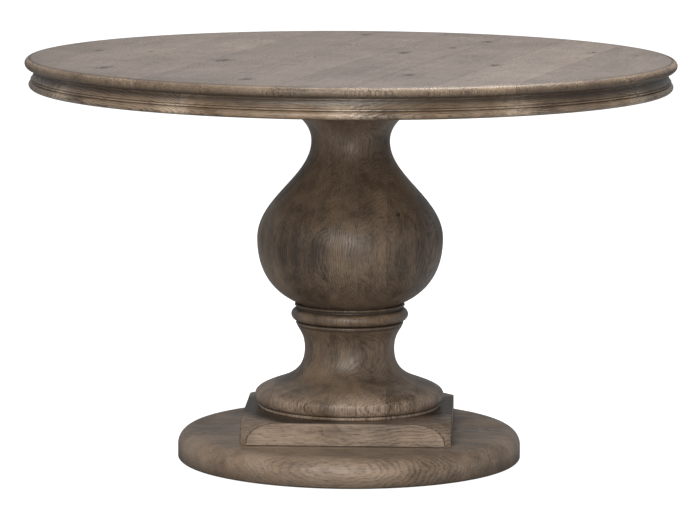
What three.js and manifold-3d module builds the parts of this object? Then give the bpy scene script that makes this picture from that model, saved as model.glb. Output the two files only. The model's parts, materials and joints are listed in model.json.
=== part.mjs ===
// Round pedestal dining table in weathered oak: a boarded top with a moulded edge on a turned
// column, which stands on a clipped square plinth and a round base.
// Millimetres, +Z up. The origin is the centre of the base, on the floor; the front is -Y.

import * as THREE from 'three';
import { mergeVertices } from 'three/addons/utils/BufferGeometryUtils.js';
import Module from 'manifold-3d';

const wasm = await Module();
wasm.setup();

// ---- Driving dimensions -------------------------------------------------------------------

const FIT_GAP = 0.3;              // clearance left between pieces that touch
const OVERRUN = 1;                // how far a cutter runs past the face that it opens
const WELD_DISTANCE = 1e-4;       // corners closer than this are one

// Top
const TABLE_HEIGHT = 762;
const TOP_DIAMETER = 1219;
const TOP_THICKNESS = 19.5;
const TOP_BOARDS = 9;
const OUTER_BOARDS_EXTRA = 40;    // what the two outer boards together have over two others
const TOP_BOARD_SHIFT = -33.5;    // centre line of the middle board, across the grain
const TOP_TURN = -14;             // degrees from the plinth's front to the boards' length
const BEAD_REACH = 10;            // of the rim's half-round bead
const ARRIS_STEP = 0.5;           // quirk between the flat top and the bead, up and inwards

// Built-up edge below the boards
const EDGE_DEPTH = 37.7;
const EDGE_INSET = 17.2;          // how far the neck sits in from the rim
const EDGE_WIDTH = 72;
const EDGE_SEGMENTS = 12;
const EDGE_SEAM_TURN = 16;        // degrees, where the first seam lies
const EDGE_NECK_DEPTH = 5.2;
const COVE_FLARE = 4.7;
const COVE_STEP = 1.8;            // from the cove's lower end down to the fillet
const EDGE_FILLET_DEPTH = 3;
const EDGE_FILLET_REACH = 6.2;
const LOWER_BEAD_DEPTH = 15.5;
const LOWER_BEAD_REACH = 10.1;

// Battens, mounting plate and their screws
const BATTEN_WIDTH = 60;
const BATTEN_THICKNESS = 28;
const BATTEN_INSET = 140;         // from the edge's inner side, at mid length
const BATTEN_END_GAP = 5;
const PLATE_SIDE = 400;
const PLATE_THICKNESS = 32;
const PLATE_SCREW_OFFSET = 150;
const SCREW_RADIUS = 2.75;
const SCREW_HEAD_RADIUS = 5.5;
const SCREW_HEAD_HEIGHT = 3.5;
const SCREW_HEAD_EDGE = 0.4;      // the straight rim of the countersunk head
const SCREW_POINT = 8.25;
const SCREW_GRIP = 12.5;          // how deep a screw bites into the top boards

// Column, from the top down. The vase takes up what is left of the height.
const ABACUS_RADIUS = 168;
const ABACUS_THICKNESS = 20;
const CAP_RADIUS = 164.5;
const CAP_HEIGHT = 85.5;          // from the narrowest neck up to the abacus
const NECK_RADIUS = 74;
const BULB_RADIUS = 175.2;
const BULB_RISE = 120;            // from the bulb's lower edge up to its widest
const BULB_FOOT_RADIUS = 102;
const VASE_GROOVE_RADIUS = 97;
const VASE_GROOVE_HEIGHT = 2.7;
const COLLAR_RADIUS = 110.4;
const COLLAR_RING_HEIGHT = 23.4;
const COLLAR_GROOVE_RADIUS = 99;
const COLLAR_GROOVE_HEIGHT = 4.5;
const COLLAR_LIP_RADIUS = 104;
const COLLAR_LIP_HEIGHT = 4.5;
const FOOT_HEIGHT = 163.5;
const FOOT_BEAD_RADIUS = 101.5;
const FOOT_BEAD_HEIGHT = 7;
const FOOT_BEAD_EASING = 1.5;
const SCOTIA_RADIUS = 84.8;
const SCOTIA_HEIGHT = 111;        // of the narrowest scotia above the foot's underside
const BELL_RADIUS = 118.2;
const BELL_HEIGHT = 57.4;         // of the bell's turning point above the foot's underside
const BELL_SLOPE = 26;            // degrees below level, where the hollow turns to a swelling
const TORUS_RADIUS = 178;
const TORUS_HEIGHT = 24.6;
const FOOT_GROOVE_RADIUS = 167;
const FOOT_RING_RADIUS = 171.5;
const FOOT_RING_HEIGHT = 6;
const SPIGOT_RADIUS = 45;
const SPIGOT_LENGTH = 8;

// How full the column's curves are: each is a share of its own curve's rise
const BULB_FULLNESS_BELOW = 0.53;
const BULB_FULLNESS_ABOVE = 0.41;
const NECK_HOLLOW_BELOW = 0.37;
const NECK_HOLLOW_ABOVE = 0.55;
const CAP_LEAN = [0.35, 0.21];    // outwards and downwards, at the abacus
const BULB_FOOT_LEAN = [0.36, 0.16];
const TORUS_FULLNESS = 0.45;
const BELL_SWELL = 0.87;
const BELL_HOLLOW = 0.49;
const SCOTIA_HOLLOW_BELOW = 0.48;
const SCOTIA_HOLLOW_ABOVE = 0.6;
const SCOTIA_LEAN = [0.08, 0.22];

// Base
const PLINTH_SIDE = 392;
const PLINTH_HEIGHT = 43.5;
const PLINTH_CORNER_CLIP = 8.7;   // how much the turned edge takes off each corner
const PLINTH_ROUNDING = 38;
const PLINTH_BOARDS = 3;
const PLINTH_BOARD_WIDTH = 130;
const BASE_RADIUS = 324;
const BASE_TOP = 56.4;
const BASE_CLEARANCE = 2;         // the base hangs this far off the floor, on its levelling feet
const BASE_ROUNDING = 28;
const BASE_EASING = 3;
const BASE_BOARDS = 5;
const BASE_BOARD_WIDTH = 125;
const BASE_BOARD_SHIFT = -29.5;

// Tie rod
const ROD_RADIUS = 6;
const ROD_CLEARANCE = 1;
const WASHER_RADIUS = 18;
const WASHER_THICKNESS = 2.5;
const NUT_SIDES = 6;
const NUT_RADIUS = 10.4;          // over the corners
const NUT_HEIGHT = 9;
const ROD_END = 0.7;              // how far the rod runs past its nuts
const RECESS_CLEARANCE = 3;       // round the washers, for a socket spanner
const TOP_RECESS_DEPTH = 14;
const BASE_RECESS_DEPTH = 18;

// Levelling feet
const LEVELLER_INSET = 54;        // from the base's rim to each foot's axis
const LEVELLER_COUNT = 4;
const PAD_RADIUS = 14;
const PAD_THICKNESS = 6;
const PAD_HEEL_EASING = 1;
const PAD_SHOULDER_WIDTH = 4;
const PAD_SHOULDER_HEIGHT = 2;
const PAD_CLEARANCE = 3;
const STEM_RADIUS = 4;
const STEM_LENGTH = 32;
const STEM_HEADROOM = 4;
const INSERT_RADIUS = 6.5;
const INSERT_LENGTH = 18;

// Facets
const TOP_SIDES = 60;
const BASE_SIDES = 48;
const COLUMN_SIDES = 36;
const BORE_SIDES = 12;
const SCREW_SIDES = 8;

// ---- Levels and radii worked out from them ------------------------------------------------

const topUnderside = TABLE_HEIGHT - TOP_THICKNESS;
const fixingLevel = topUnderside - FIT_GAP;          // top face of plate, battens and edge
const plateUnderside = fixingLevel - PLATE_THICKNESS;
const battenBottom = fixingLevel - BATTEN_THICKNESS;
const topRecessFloor = fixingLevel - TOP_RECESS_DEPTH;
const plinthBottom = BASE_TOP + FIT_GAP;
const plinthTop = BASE_TOP + PLINTH_HEIGHT;
const footBottom = plinthTop + FIT_GAP;
const footTop = footBottom + FOOT_HEIGHT;
const collarBottom = footTop + FIT_GAP;
const collarHeight = 2 * FIT_GAP + COLLAR_RING_HEIGHT + COLLAR_GROOVE_HEIGHT + COLLAR_LIP_HEIGHT;
const collarTop = collarBottom + collarHeight;
const vaseBottom = collarTop + FIT_GAP;
const columnTop = plateUnderside - FIT_GAP;
const baseRecessRoof = BASE_CLEARANCE + BASE_RECESS_DEPTH;
const padPocketRoof = PAD_THICKNESS + FIT_GAP;

const rimRadius = TOP_DIAMETER / 2;
const topBoardWidth = (TOP_DIAMETER - OUTER_BOARDS_EXTRA) / TOP_BOARDS;
const edgeNeckRadius = rimRadius - EDGE_INSET;
const edgeInnerRadius = edgeNeckRadius - EDGE_WIDTH;
const rodBoreRadius = ROD_RADIUS + ROD_CLEARANCE;
const recessRadius = WASHER_RADIUS + RECESS_CLEARANCE;
const socketRadius = SPIGOT_RADIUS + FIT_GAP;
const levellerRingRadius = BASE_RADIUS - LEVELLER_INSET;

// ---- Finishes -----------------------------------------------------------------------------

const finish = (color, roughness, metalness) =>
  new THREE.MeshStandardMaterial({ color, roughness, metalness, flatShading: true });

const greyedOak = finish('#9a8f87', 0.5, 0);
const edgeOak = finish('#7d6f62', 0.5, 0);
const darkOak = finish('#5a4c41', 0.42, 0);
const baseOak = finish('#84756a', 0.5, 0);
const plainOak = finish('#a08a6c', 0.7, 0);
const zincSteel = finish('#a9abae', 0.35, 1);
const brass = finish('#b08d4f', 0.4, 1);
const nylon = finish('#2b2a28', 0.6, 0);

// ---- Shaping helpers ----------------------------------------------------------------------

const radians = THREE.MathUtils.degToRad;

// Spins an outline of (radius, height) points, drawn upwards on its outer side, about +Z.
function turned(outline, sides, curveSteps = 3) {
  const lathe = new THREE.LatheGeometry(outline.getPoints(curveSteps), sides);
  return lathe.rotateX(Math.PI / 2);
}

// A plain round bar from one height to another.
function bar(radius, bottom, top, sides = BORE_SIDES) {
  const cylinder = new THREE.CylinderGeometry(radius, radius, top - bottom, sides);
  return cylinder.rotateX(Math.PI / 2).translate(0, 0, (bottom + top) / 2);
}

// A block between two corners.
function block(low, high) {
  const size = high.map((value, axis) => value - low[axis]);
  const middle = high.map((value, axis) => (value + low[axis]) / 2);
  return new THREE.BoxGeometry(...size).translate(...middle);
}

// Turns a closed geometry into a solid that can be cut.
function solid(geometry) {
  const bare = geometry.clone();
  bare.deleteAttribute('normal');
  bare.deleteAttribute('uv');
  const welded = mergeVertices(bare, WELD_DISTANCE);
  const corners = welded.index.array;
  const faces = [];
  for (let i = 0; i < corners.length; i += 3) {
    const [a, b, c] = corners.slice(i, i + 3);
    if (a !== b && b !== c && c !== a) {
      faces.push(a, b, c);
    }
  }
  return new wasm.Manifold(new wasm.Mesh({
    numProp: 3,
    vertProperties: new Float32Array(welded.attributes.position.array),
    triVerts: new Uint32Array(faces),
  }));
}

// Takes every tool away from a body; bodies and tools are solids.
function cut(body, tools) {
  return tools.reduce((rest, tool) => rest.subtract(tool), body);
}

// Turns a solid back into a geometry.
function geometryOf(body) {
  const mesh = body.getMesh();
  const geometry = new THREE.BufferGeometry();
  geometry.setAttribute('position', new THREE.BufferAttribute(mesh.vertProperties, 3));
  geometry.setIndex(new THREE.BufferAttribute(mesh.triVerts, 1));
  geometry.computeVertexNormals();
  return geometry;
}

function piece(parent, name, geometry, material, place = [0, 0, 0]) {
  const mesh = new THREE.Mesh(geometry, material);
  mesh.name = name;
  mesh.position.set(...place);
  parent.add(mesh);
  return mesh;
}

// Cuts a slab into boards that lie side by side along one axis, 0 for X and 1 for Y.
// The two outer boards run out to the slab's edge.
function boards(body, axis, count, width, shift, reach) {
  const cuts = [];
  for (let i = 0; i < count; i += 1) {
    const start = i === 0 ? -reach : shift + (i - count / 2) * width + FIT_GAP / 2;
    const end = i === count - 1 ? reach : shift + (i + 1 - count / 2) * width - FIT_GAP / 2;
    const low = [-reach, -reach, -reach];
    const high = [reach, reach, reach];
    low[axis] = start;
    high[axis] = end;
    cuts.push(body.intersect(solid(block(low, high))));
  }
  return cuts;
}

// A countersunk screw, head down, with its head's face at height 0. Its hole is the same
// shape with a gap all round, and opens through that face.
function screw(length, gap = 0) {
  const mouth = -2 * gap;
  const outline = new THREE.Path();
  outline.moveTo(0, mouth);
  outline.lineTo(SCREW_HEAD_RADIUS + gap, mouth);
  outline.lineTo(SCREW_HEAD_RADIUS + gap, SCREW_HEAD_EDGE);
  outline.lineTo(SCREW_RADIUS + gap, SCREW_HEAD_HEIGHT + gap);
  outline.lineTo(SCREW_RADIUS + gap, length - SCREW_POINT);
  outline.lineTo(0, length + gap * SCREW_POINT / SCREW_RADIUS);
  return turned(outline, SCREW_SIDES);
}

// ---- Top ----------------------------------------------------------------------------------

const top = new THREE.Group();
top.rotation.z = radians(TOP_TURN);

const battenOffset = edgeInnerRadius - BATTEN_INSET - BATTEN_WIDTH / 2;
const battenScrews = [];
for (const side of [-1, 1]) {
  for (const step of [-2, 0, 2]) {
    battenScrews.push([TOP_BOARD_SHIFT + step * topBoardWidth, side * battenOffset, battenBottom]);
  }
}
const plateScrews = [];
for (const side of [-1, 1]) {
  for (const step of [-1, 1]) {
    const across = TOP_BOARD_SHIFT + step * topBoardWidth;
    plateScrews.push([across, side * PLATE_SCREW_OFFSET, plateUnderside]);
  }
}
const screwLength = (place) => topUnderside + SCREW_GRIP - place[2];
const screwHole = (place) => solid(screw(screwLength(place), FIT_GAP).translate(...place));
const battenScrewHoles = battenScrews.map(screwHole);
const plateScrewHoles = plateScrews.map(screwHole);

function topBoards() {
  const beadCentre = rimRadius - BEAD_REACH;
  const beadHeight = TOP_THICKNESS - ARRIS_STEP;
  const outline = new THREE.Path();
  outline.moveTo(0, topUnderside);
  outline.lineTo(beadCentre, topUnderside);
  outline.absellipse(
    beadCentre, topUnderside + beadHeight / 2, BEAD_REACH, beadHeight / 2, -Math.PI / 2, Math.PI / 2,
  );
  outline.lineTo(beadCentre - ARRIS_STEP, TABLE_HEIGHT);
  outline.lineTo(0, TABLE_HEIGHT);
  const disc = cut(solid(turned(outline, TOP_SIDES)), [...battenScrewHoles, ...plateScrewHoles]);
  const cuts = boards(disc, 0, TOP_BOARDS, topBoardWidth, TOP_BOARD_SHIFT, TOP_DIAMETER);
  cuts.forEach((board, i) => piece(top, `top_board_${i + 1}`, geometryOf(board), greyedOak));
}

// A wedge that opens from near the axis, for cutting one segment out of a ring.
function wedge(start, end) {
  const middle = (start + end) / 2;
  const nose = FIT_GAP / 2 / Math.sin((end - start) / 2);
  const tip = new THREE.Vector2(nose * Math.cos(middle), nose * Math.sin(middle));
  const outline = new THREE.Shape();
  outline.moveTo(tip.x, tip.y);
  for (const turn of [start, end]) {
    outline.lineTo(tip.x + TOP_DIAMETER * Math.cos(turn), tip.y + TOP_DIAMETER * Math.sin(turn));
  }
  return new THREE.ExtrudeGeometry(outline, { depth: TABLE_HEIGHT, bevelEnabled: false });
}

function edgeSegments() {
  const bottom = fixingLevel - EDGE_DEPTH;
  const filletBottom = bottom + LOWER_BEAD_DEPTH;
  const filletTop = filletBottom + EDGE_FILLET_DEPTH;
  const coveBottom = filletTop + COVE_STEP;
  const coveTop = fixingLevel - EDGE_NECK_DEPTH;
  const outline = new THREE.Path();
  outline.moveTo(edgeInnerRadius, bottom);
  outline.lineTo(edgeNeckRadius, bottom);
  outline.absellipse(
    edgeNeckRadius, bottom + LOWER_BEAD_DEPTH / 2,
    LOWER_BEAD_REACH, LOWER_BEAD_DEPTH / 2, -Math.PI / 2, Math.PI / 2,
  );
  outline.lineTo(edgeNeckRadius + EDGE_FILLET_REACH, filletBottom);
  outline.lineTo(edgeNeckRadius + EDGE_FILLET_REACH, filletTop);
  outline.lineTo(edgeNeckRadius + COVE_FLARE, coveBottom);
  outline.quadraticCurveTo(
    edgeNeckRadius, coveBottom + (coveTop - coveBottom) / 3, edgeNeckRadius, coveTop,
  );
  outline.lineTo(edgeNeckRadius, fixingLevel);
  outline.lineTo(edgeInnerRadius, fixingLevel);
  outline.lineTo(edgeInnerRadius, bottom);
  const ring = solid(turned(outline, TOP_SIDES));
  const span = 360 / EDGE_SEGMENTS;
  for (let i = 0; i < EDGE_SEGMENTS; i += 1) {
    const start = EDGE_SEAM_TURN + i * span;
    const cutter = solid(wedge(radians(start), radians(start + span)));
    piece(top, `edge_segment_${i + 1}`, geometryOf(ring.intersect(cutter)), edgeOak);
  }
}

function battens() {
  const outerSide = battenOffset + BATTEN_WIDTH / 2;
  const halfLength = Math.sqrt((edgeInnerRadius - BATTEN_END_GAP) ** 2 - outerSide ** 2);
  [-1, 1].forEach((side, i) => {
    const near = side * battenOffset - BATTEN_WIDTH / 2;
    const strip = block(
      [-halfLength, near, battenBottom],
      [halfLength, near + BATTEN_WIDTH, fixingLevel],
    );
    piece(top, `top_batten_${i + 1}`, geometryOf(cut(solid(strip), battenScrewHoles)), plainOak);
  });
  battenScrews.forEach((place, i) => {
    piece(top, `batten_screw_${i + 1}`, screw(screwLength(place)), zincSteel, place);
  });
}

function mountingPlate() {
  const slab = block(
    [-PLATE_SIDE / 2, -PLATE_SIDE / 2, plateUnderside],
    [PLATE_SIDE / 2, PLATE_SIDE / 2, fixingLevel],
  );
  const socketRoof = columnTop + SPIGOT_LENGTH + FIT_GAP;
  const openings = [
    solid(bar(rodBoreRadius, plateUnderside - OVERRUN, fixingLevel + OVERRUN)),
    solid(bar(recessRadius, topRecessFloor, fixingLevel + OVERRUN, 2 * BORE_SIDES)),
    solid(bar(socketRadius, plateUnderside - OVERRUN, socketRoof, COLUMN_SIDES)),
  ];
  const plate = cut(solid(slab), [...openings, ...plateScrewHoles]);
  piece(top, 'mounting_plate', geometryOf(plate), plainOak);
  plateScrews.forEach((place, i) => {
    piece(top, `plate_screw_${i + 1}`, screw(screwLength(place)), zincSteel, place);
  });
}

topBoards();
edgeSegments();
battens();
mountingPlate();

// ---- Column -------------------------------------------------------------------------------

const column = new THREE.Group();

// The outline of a turned piece: a bore through it, and a spigot or a socket at each end. The
// side's own curves are drawn between the two ends by the caller.
function startOutline(end, radius, depth) {
  const outline = new THREE.Path();
  outline.moveTo(rodBoreRadius, end + depth);
  outline.lineTo(radius, end + depth);
  outline.lineTo(radius, end);
  return outline;
}

function closeOutline(outline, end, radius, depth, start) {
  outline.lineTo(radius, end);
  outline.lineTo(radius, end + depth);
  outline.lineTo(rodBoreRadius, end + depth);
  outline.lineTo(rodBoreRadius, start);
}

function vase() {
  const edgeLevel = vaseBottom + VASE_GROOVE_HEIGHT;
  const bulbLevel = edgeLevel + BULB_RISE;
  const capLevel = columnTop - ABACUS_THICKNESS;
  const neckLevel = capLevel - CAP_HEIGHT;
  const shoulderRise = neckLevel - bulbLevel;
  const outline = startOutline(vaseBottom, SPIGOT_RADIUS, -SPIGOT_LENGTH);
  outline.lineTo(VASE_GROOVE_RADIUS, vaseBottom);
  outline.lineTo(VASE_GROOVE_RADIUS, edgeLevel);
  outline.lineTo(BULB_FOOT_RADIUS, edgeLevel);
  outline.bezierCurveTo(
    BULB_FOOT_RADIUS + BULB_FOOT_LEAN[0] * BULB_RISE, edgeLevel + BULB_FOOT_LEAN[1] * BULB_RISE,
    BULB_RADIUS, bulbLevel - BULB_FULLNESS_BELOW * BULB_RISE,
    BULB_RADIUS, bulbLevel,
  );
  outline.bezierCurveTo(
    BULB_RADIUS, bulbLevel + BULB_FULLNESS_ABOVE * shoulderRise,
    NECK_RADIUS, neckLevel - NECK_HOLLOW_BELOW * shoulderRise,
    NECK_RADIUS, neckLevel,
  );
  outline.bezierCurveTo(
    NECK_RADIUS, neckLevel + NECK_HOLLOW_ABOVE * CAP_HEIGHT,
    CAP_RADIUS - CAP_LEAN[0] * CAP_HEIGHT, capLevel - CAP_LEAN[1] * CAP_HEIGHT,
    CAP_RADIUS, capLevel,
  );
  outline.lineTo(ABACUS_RADIUS, capLevel);
  outline.lineTo(ABACUS_RADIUS, columnTop);
  closeOutline(outline, columnTop, SPIGOT_RADIUS, SPIGOT_LENGTH, vaseBottom - SPIGOT_LENGTH);
  piece(column, 'column_vase', geometryOf(solid(turned(outline, COLUMN_SIDES, 6))), darkOak);
}

function collar() {
  const ringBottom = collarBottom + 2 * FIT_GAP;
  const ringTop = ringBottom + COLLAR_RING_HEIGHT;
  const lipBottom = ringTop + COLLAR_GROOVE_HEIGHT;
  const socketDepth = SPIGOT_LENGTH + 2 * FIT_GAP;
  const outline = startOutline(collarBottom, socketRadius, socketDepth);
  outline.lineTo(COLLAR_GROOVE_RADIUS, collarBottom);
  outline.lineTo(COLLAR_GROOVE_RADIUS, ringBottom);
  outline.absellipse(
    COLLAR_GROOVE_RADIUS, (ringBottom + ringTop) / 2,
    COLLAR_RADIUS - COLLAR_GROOVE_RADIUS, COLLAR_RING_HEIGHT / 2, -Math.PI / 2, Math.PI / 2,
  );
  outline.lineTo(COLLAR_GROOVE_RADIUS, lipBottom);
  outline.lineTo(COLLAR_LIP_RADIUS, lipBottom);
  outline.lineTo(COLLAR_LIP_RADIUS, collarTop);
  closeOutline(outline, collarTop, socketRadius, -socketDepth, collarBottom + socketDepth);
  piece(column, 'column_collar', geometryOf(solid(turned(outline, COLUMN_SIDES))), darkOak);
}

function foot() {
  const ringTop = footBottom + FOOT_RING_HEIGHT;
  const torusLevel = footBottom + TORUS_HEIGHT;
  const bellLevel = footBottom + BELL_HEIGHT;
  const scotiaLevel = footBottom + SCOTIA_HEIGHT;
  const beadBottom = footTop - FOOT_BEAD_HEIGHT;
  const bellRise = bellLevel - torusLevel;
  const hollowRise = scotiaLevel - bellLevel;
  const scotiaRise = beadBottom - scotiaLevel;
  const slopeOut = Math.cos(radians(BELL_SLOPE));
  const slopeDown = Math.sin(radians(BELL_SLOPE));
  const outline = startOutline(footBottom, SPIGOT_RADIUS, -SPIGOT_LENGTH);
  outline.lineTo(FOOT_RING_RADIUS, footBottom);
  outline.lineTo(FOOT_RING_RADIUS, ringTop);
  outline.lineTo(FOOT_GROOVE_RADIUS, ringTop);
  outline.quadraticCurveTo(TORUS_RADIUS, ringTop, TORUS_RADIUS, torusLevel);
  outline.bezierCurveTo(
    TORUS_RADIUS, torusLevel + TORUS_FULLNESS * bellRise,
    BELL_RADIUS + BELL_SWELL * bellRise * slopeOut, bellLevel - BELL_SWELL * bellRise * slopeDown,
    BELL_RADIUS, bellLevel,
  );
  outline.bezierCurveTo(
    BELL_RADIUS - BELL_HOLLOW * hollowRise * slopeOut, bellLevel + BELL_HOLLOW * hollowRise * slopeDown,
    SCOTIA_RADIUS, scotiaLevel - SCOTIA_HOLLOW_BELOW * hollowRise,
    SCOTIA_RADIUS, scotiaLevel,
  );
  outline.bezierCurveTo(
    SCOTIA_RADIUS, scotiaLevel + SCOTIA_HOLLOW_ABOVE * scotiaRise,
    FOOT_BEAD_RADIUS - FOOT_BEAD_EASING - SCOTIA_LEAN[0] * scotiaRise,
    beadBottom - SCOTIA_LEAN[1] * scotiaRise,
    FOOT_BEAD_RADIUS - FOOT_BEAD_EASING, beadBottom,
  );
  outline.lineTo(FOOT_BEAD_RADIUS, beadBottom + FOOT_BEAD_EASING);
  outline.lineTo(FOOT_BEAD_RADIUS, footTop - FOOT_BEAD_EASING);
  outline.lineTo(FOOT_BEAD_RADIUS - FOOT_BEAD_EASING, footTop);
  closeOutline(outline, footTop, SPIGOT_RADIUS, SPIGOT_LENGTH, footBottom - SPIGOT_LENGTH);
  piece(column, 'column_foot', geometryOf(solid(turned(outline, COLUMN_SIDES, 5))), darkOak);
}

vase();
collar();
foot();

// ---- Base ---------------------------------------------------------------------------------

const base = new THREE.Group();

const levellerPlaces = [];
for (let i = 0; i < LEVELLER_COUNT; i += 1) {
  const turn = ((i + 0.5) / LEVELLER_COUNT) * 2 * Math.PI;
  levellerPlaces.push([levellerRingRadius * Math.cos(turn), levellerRingRadius * Math.sin(turn), 0]);
}

function plinth() {
  const half = PLINTH_SIDE / 2;
  const cornerRadius = half * Math.SQRT2 - PLINTH_CORNER_CLIP;
  const roundingCentre = cornerRadius - PLINTH_ROUNDING;
  const outline = new THREE.Path();
  outline.moveTo(0, plinthBottom);
  outline.lineTo(cornerRadius, plinthBottom);
  outline.absarc(roundingCentre, plinthTop - PLINTH_ROUNDING, PLINTH_ROUNDING, 0, Math.PI / 2);
  outline.lineTo(0, plinthTop);
  const square = solid(block([-half, -half, 0], [half, half, TABLE_HEIGHT]));
  const openings = [
    solid(bar(rodBoreRadius, 0, TABLE_HEIGHT)),
    solid(bar(socketRadius, footBottom - SPIGOT_LENGTH - FIT_GAP, TABLE_HEIGHT, COLUMN_SIDES)),
  ];
  const slab = cut(solid(turned(outline, BASE_SIDES)).intersect(square), openings);
  boards(slab, 1, PLINTH_BOARDS, PLINTH_BOARD_WIDTH, 0, PLINTH_SIDE).forEach((board, i) => {
    piece(base, `plinth_board_${i + 1}`, geometryOf(board), baseOak);
  });
}

function baseDisc() {
  const outline = new THREE.Path();
  outline.moveTo(0, BASE_CLEARANCE);
  outline.lineTo(BASE_RADIUS - BASE_EASING, BASE_CLEARANCE);
  outline.lineTo(BASE_RADIUS, BASE_CLEARANCE + BASE_EASING);
  outline.absarc(
    BASE_RADIUS - BASE_ROUNDING, BASE_TOP - BASE_ROUNDING, BASE_ROUNDING, 0, Math.PI / 2,
  );
  outline.lineTo(0, BASE_TOP);
  const openings = [
    solid(bar(rodBoreRadius, 0, TABLE_HEIGHT)),
    solid(bar(recessRadius, 0, baseRecessRoof, 2 * BORE_SIDES)),
  ];
  for (const place of levellerPlaces) {
    const stemHole = bar(INSERT_RADIUS + FIT_GAP, 0, PAD_THICKNESS + STEM_LENGTH + STEM_HEADROOM);
    const pocket = bar(PAD_RADIUS + PAD_CLEARANCE, 0, padPocketRoof, 2 * BORE_SIDES);
    openings.push(solid(stemHole.translate(...place)), solid(pocket.translate(...place)));
  }
  const slab = cut(solid(turned(outline, BASE_SIDES)), openings);
  const cuts = boards(slab, 1, BASE_BOARDS, BASE_BOARD_WIDTH, BASE_BOARD_SHIFT, 2 * BASE_RADIUS);
  cuts.forEach((board, i) => piece(base, `base_board_${i + 1}`, geometryOf(board), baseOak));
}

function levellers() {
  const outline = new THREE.Path();
  outline.moveTo(0, 0);
  outline.lineTo(PAD_RADIUS - PAD_HEEL_EASING, 0);
  outline.lineTo(PAD_RADIUS, PAD_HEEL_EASING);
  outline.lineTo(PAD_RADIUS, PAD_THICKNESS - PAD_SHOULDER_HEIGHT);
  outline.lineTo(PAD_RADIUS - PAD_SHOULDER_WIDTH, PAD_THICKNESS);
  outline.lineTo(STEM_RADIUS, PAD_THICKNESS);
  outline.lineTo(STEM_RADIUS, PAD_THICKNESS + STEM_LENGTH);
  outline.lineTo(0, PAD_THICKNESS + STEM_LENGTH);
  const insertBottom = padPocketRoof + FIT_GAP;
  const sleeve = cut(
    solid(bar(INSERT_RADIUS, insertBottom, insertBottom + INSERT_LENGTH)),
    [solid(bar(STEM_RADIUS + FIT_GAP, 0, TABLE_HEIGHT))],
  );
  levellerPlaces.forEach((place, i) => {
    piece(base, `levelling_foot_${i + 1}`, turned(outline, BORE_SIDES), nylon, place);
    piece(base, `foot_insert_${i + 1}`, geometryOf(sleeve), brass, place);
  });
}

plinth();
baseDisc();
levellers();

// ---- Tie rod ------------------------------------------------------------------------------

const tie = new THREE.Group();

function tieRod() {
  const topWasher = topRecessFloor + FIT_GAP;
  const topNut = topWasher + WASHER_THICKNESS + FIT_GAP;
  const baseWasher = baseRecessRoof - FIT_GAP - WASHER_THICKNESS;
  const baseNut = baseWasher - FIT_GAP - NUT_HEIGHT;
  const washer = cut(
    solid(bar(WASHER_RADIUS, 0, WASHER_THICKNESS, 2 * BORE_SIDES)),
    [solid(bar(ROD_RADIUS + 2 * FIT_GAP, -OVERRUN, WASHER_THICKNESS + OVERRUN))],
  );
  const nut = cut(
    solid(bar(NUT_RADIUS, 0, NUT_HEIGHT, NUT_SIDES)),
    [solid(bar(ROD_RADIUS + FIT_GAP, -OVERRUN, NUT_HEIGHT + OVERRUN))],
  );
  const rod = bar(ROD_RADIUS, baseNut - ROD_END, topNut + NUT_HEIGHT + ROD_END);
  piece(tie, 'tie_rod', rod, zincSteel);
  piece(tie, 'tie_rod_washer_top', geometryOf(washer), zincSteel, [0, 0, topWasher]);
  piece(tie, 'tie_rod_nut_top', geometryOf(nut), zincSteel, [0, 0, topNut]);
  piece(tie, 'tie_rod_washer_bottom', geometryOf(washer), zincSteel, [0, 0, baseWasher]);
  piece(tie, 'tie_rod_nut_bottom', geometryOf(nut), zincSteel, [0, 0, baseNut]);
}

tieRod();

const table = new THREE.Group();
table.add(top, column, base, tie);

export default table;
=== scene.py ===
import json
import math

import bmesh
import bpy
from mathutils import Matrix, Vector

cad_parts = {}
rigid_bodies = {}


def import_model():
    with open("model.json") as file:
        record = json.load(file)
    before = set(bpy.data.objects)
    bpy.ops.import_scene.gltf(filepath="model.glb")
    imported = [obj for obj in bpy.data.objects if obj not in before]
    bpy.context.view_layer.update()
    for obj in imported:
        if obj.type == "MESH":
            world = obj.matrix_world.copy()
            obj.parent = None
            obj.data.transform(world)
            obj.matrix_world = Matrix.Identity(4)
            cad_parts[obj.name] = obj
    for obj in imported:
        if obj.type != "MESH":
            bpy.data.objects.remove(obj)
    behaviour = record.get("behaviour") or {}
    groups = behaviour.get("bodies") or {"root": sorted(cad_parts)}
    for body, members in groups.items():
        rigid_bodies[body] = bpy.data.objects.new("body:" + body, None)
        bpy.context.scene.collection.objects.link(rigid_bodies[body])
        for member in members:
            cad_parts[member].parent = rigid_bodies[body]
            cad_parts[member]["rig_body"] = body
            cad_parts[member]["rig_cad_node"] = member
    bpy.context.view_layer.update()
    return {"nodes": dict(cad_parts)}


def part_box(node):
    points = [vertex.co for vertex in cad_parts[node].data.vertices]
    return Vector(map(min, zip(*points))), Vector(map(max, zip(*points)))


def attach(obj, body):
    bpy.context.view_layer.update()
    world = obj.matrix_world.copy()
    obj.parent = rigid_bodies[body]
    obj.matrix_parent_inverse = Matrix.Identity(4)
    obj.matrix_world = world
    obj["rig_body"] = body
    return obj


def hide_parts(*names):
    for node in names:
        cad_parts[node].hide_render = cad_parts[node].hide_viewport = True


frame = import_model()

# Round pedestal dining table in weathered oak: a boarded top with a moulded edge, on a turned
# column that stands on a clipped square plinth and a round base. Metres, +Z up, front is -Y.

bl_info = {
    "name": "Round Pedestal Table",
    "version": (1, 0, 0),
    "blender": (4, 5, 0),
    "location": "View3D > Sidebar > Pedestal Table",
    "description": "Builds the oak boards, turnings and fittings of a round pedestal table",
    "category": "Add Mesh",
}

MM = 0.001
RIGHTWARDS = Vector((1, 0, 0))
BACKWARDS = Vector((0, 1, 0))
FIT_GAP = 0.3 * MM
SPIGOT_LENGTH = 8 * MM


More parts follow.
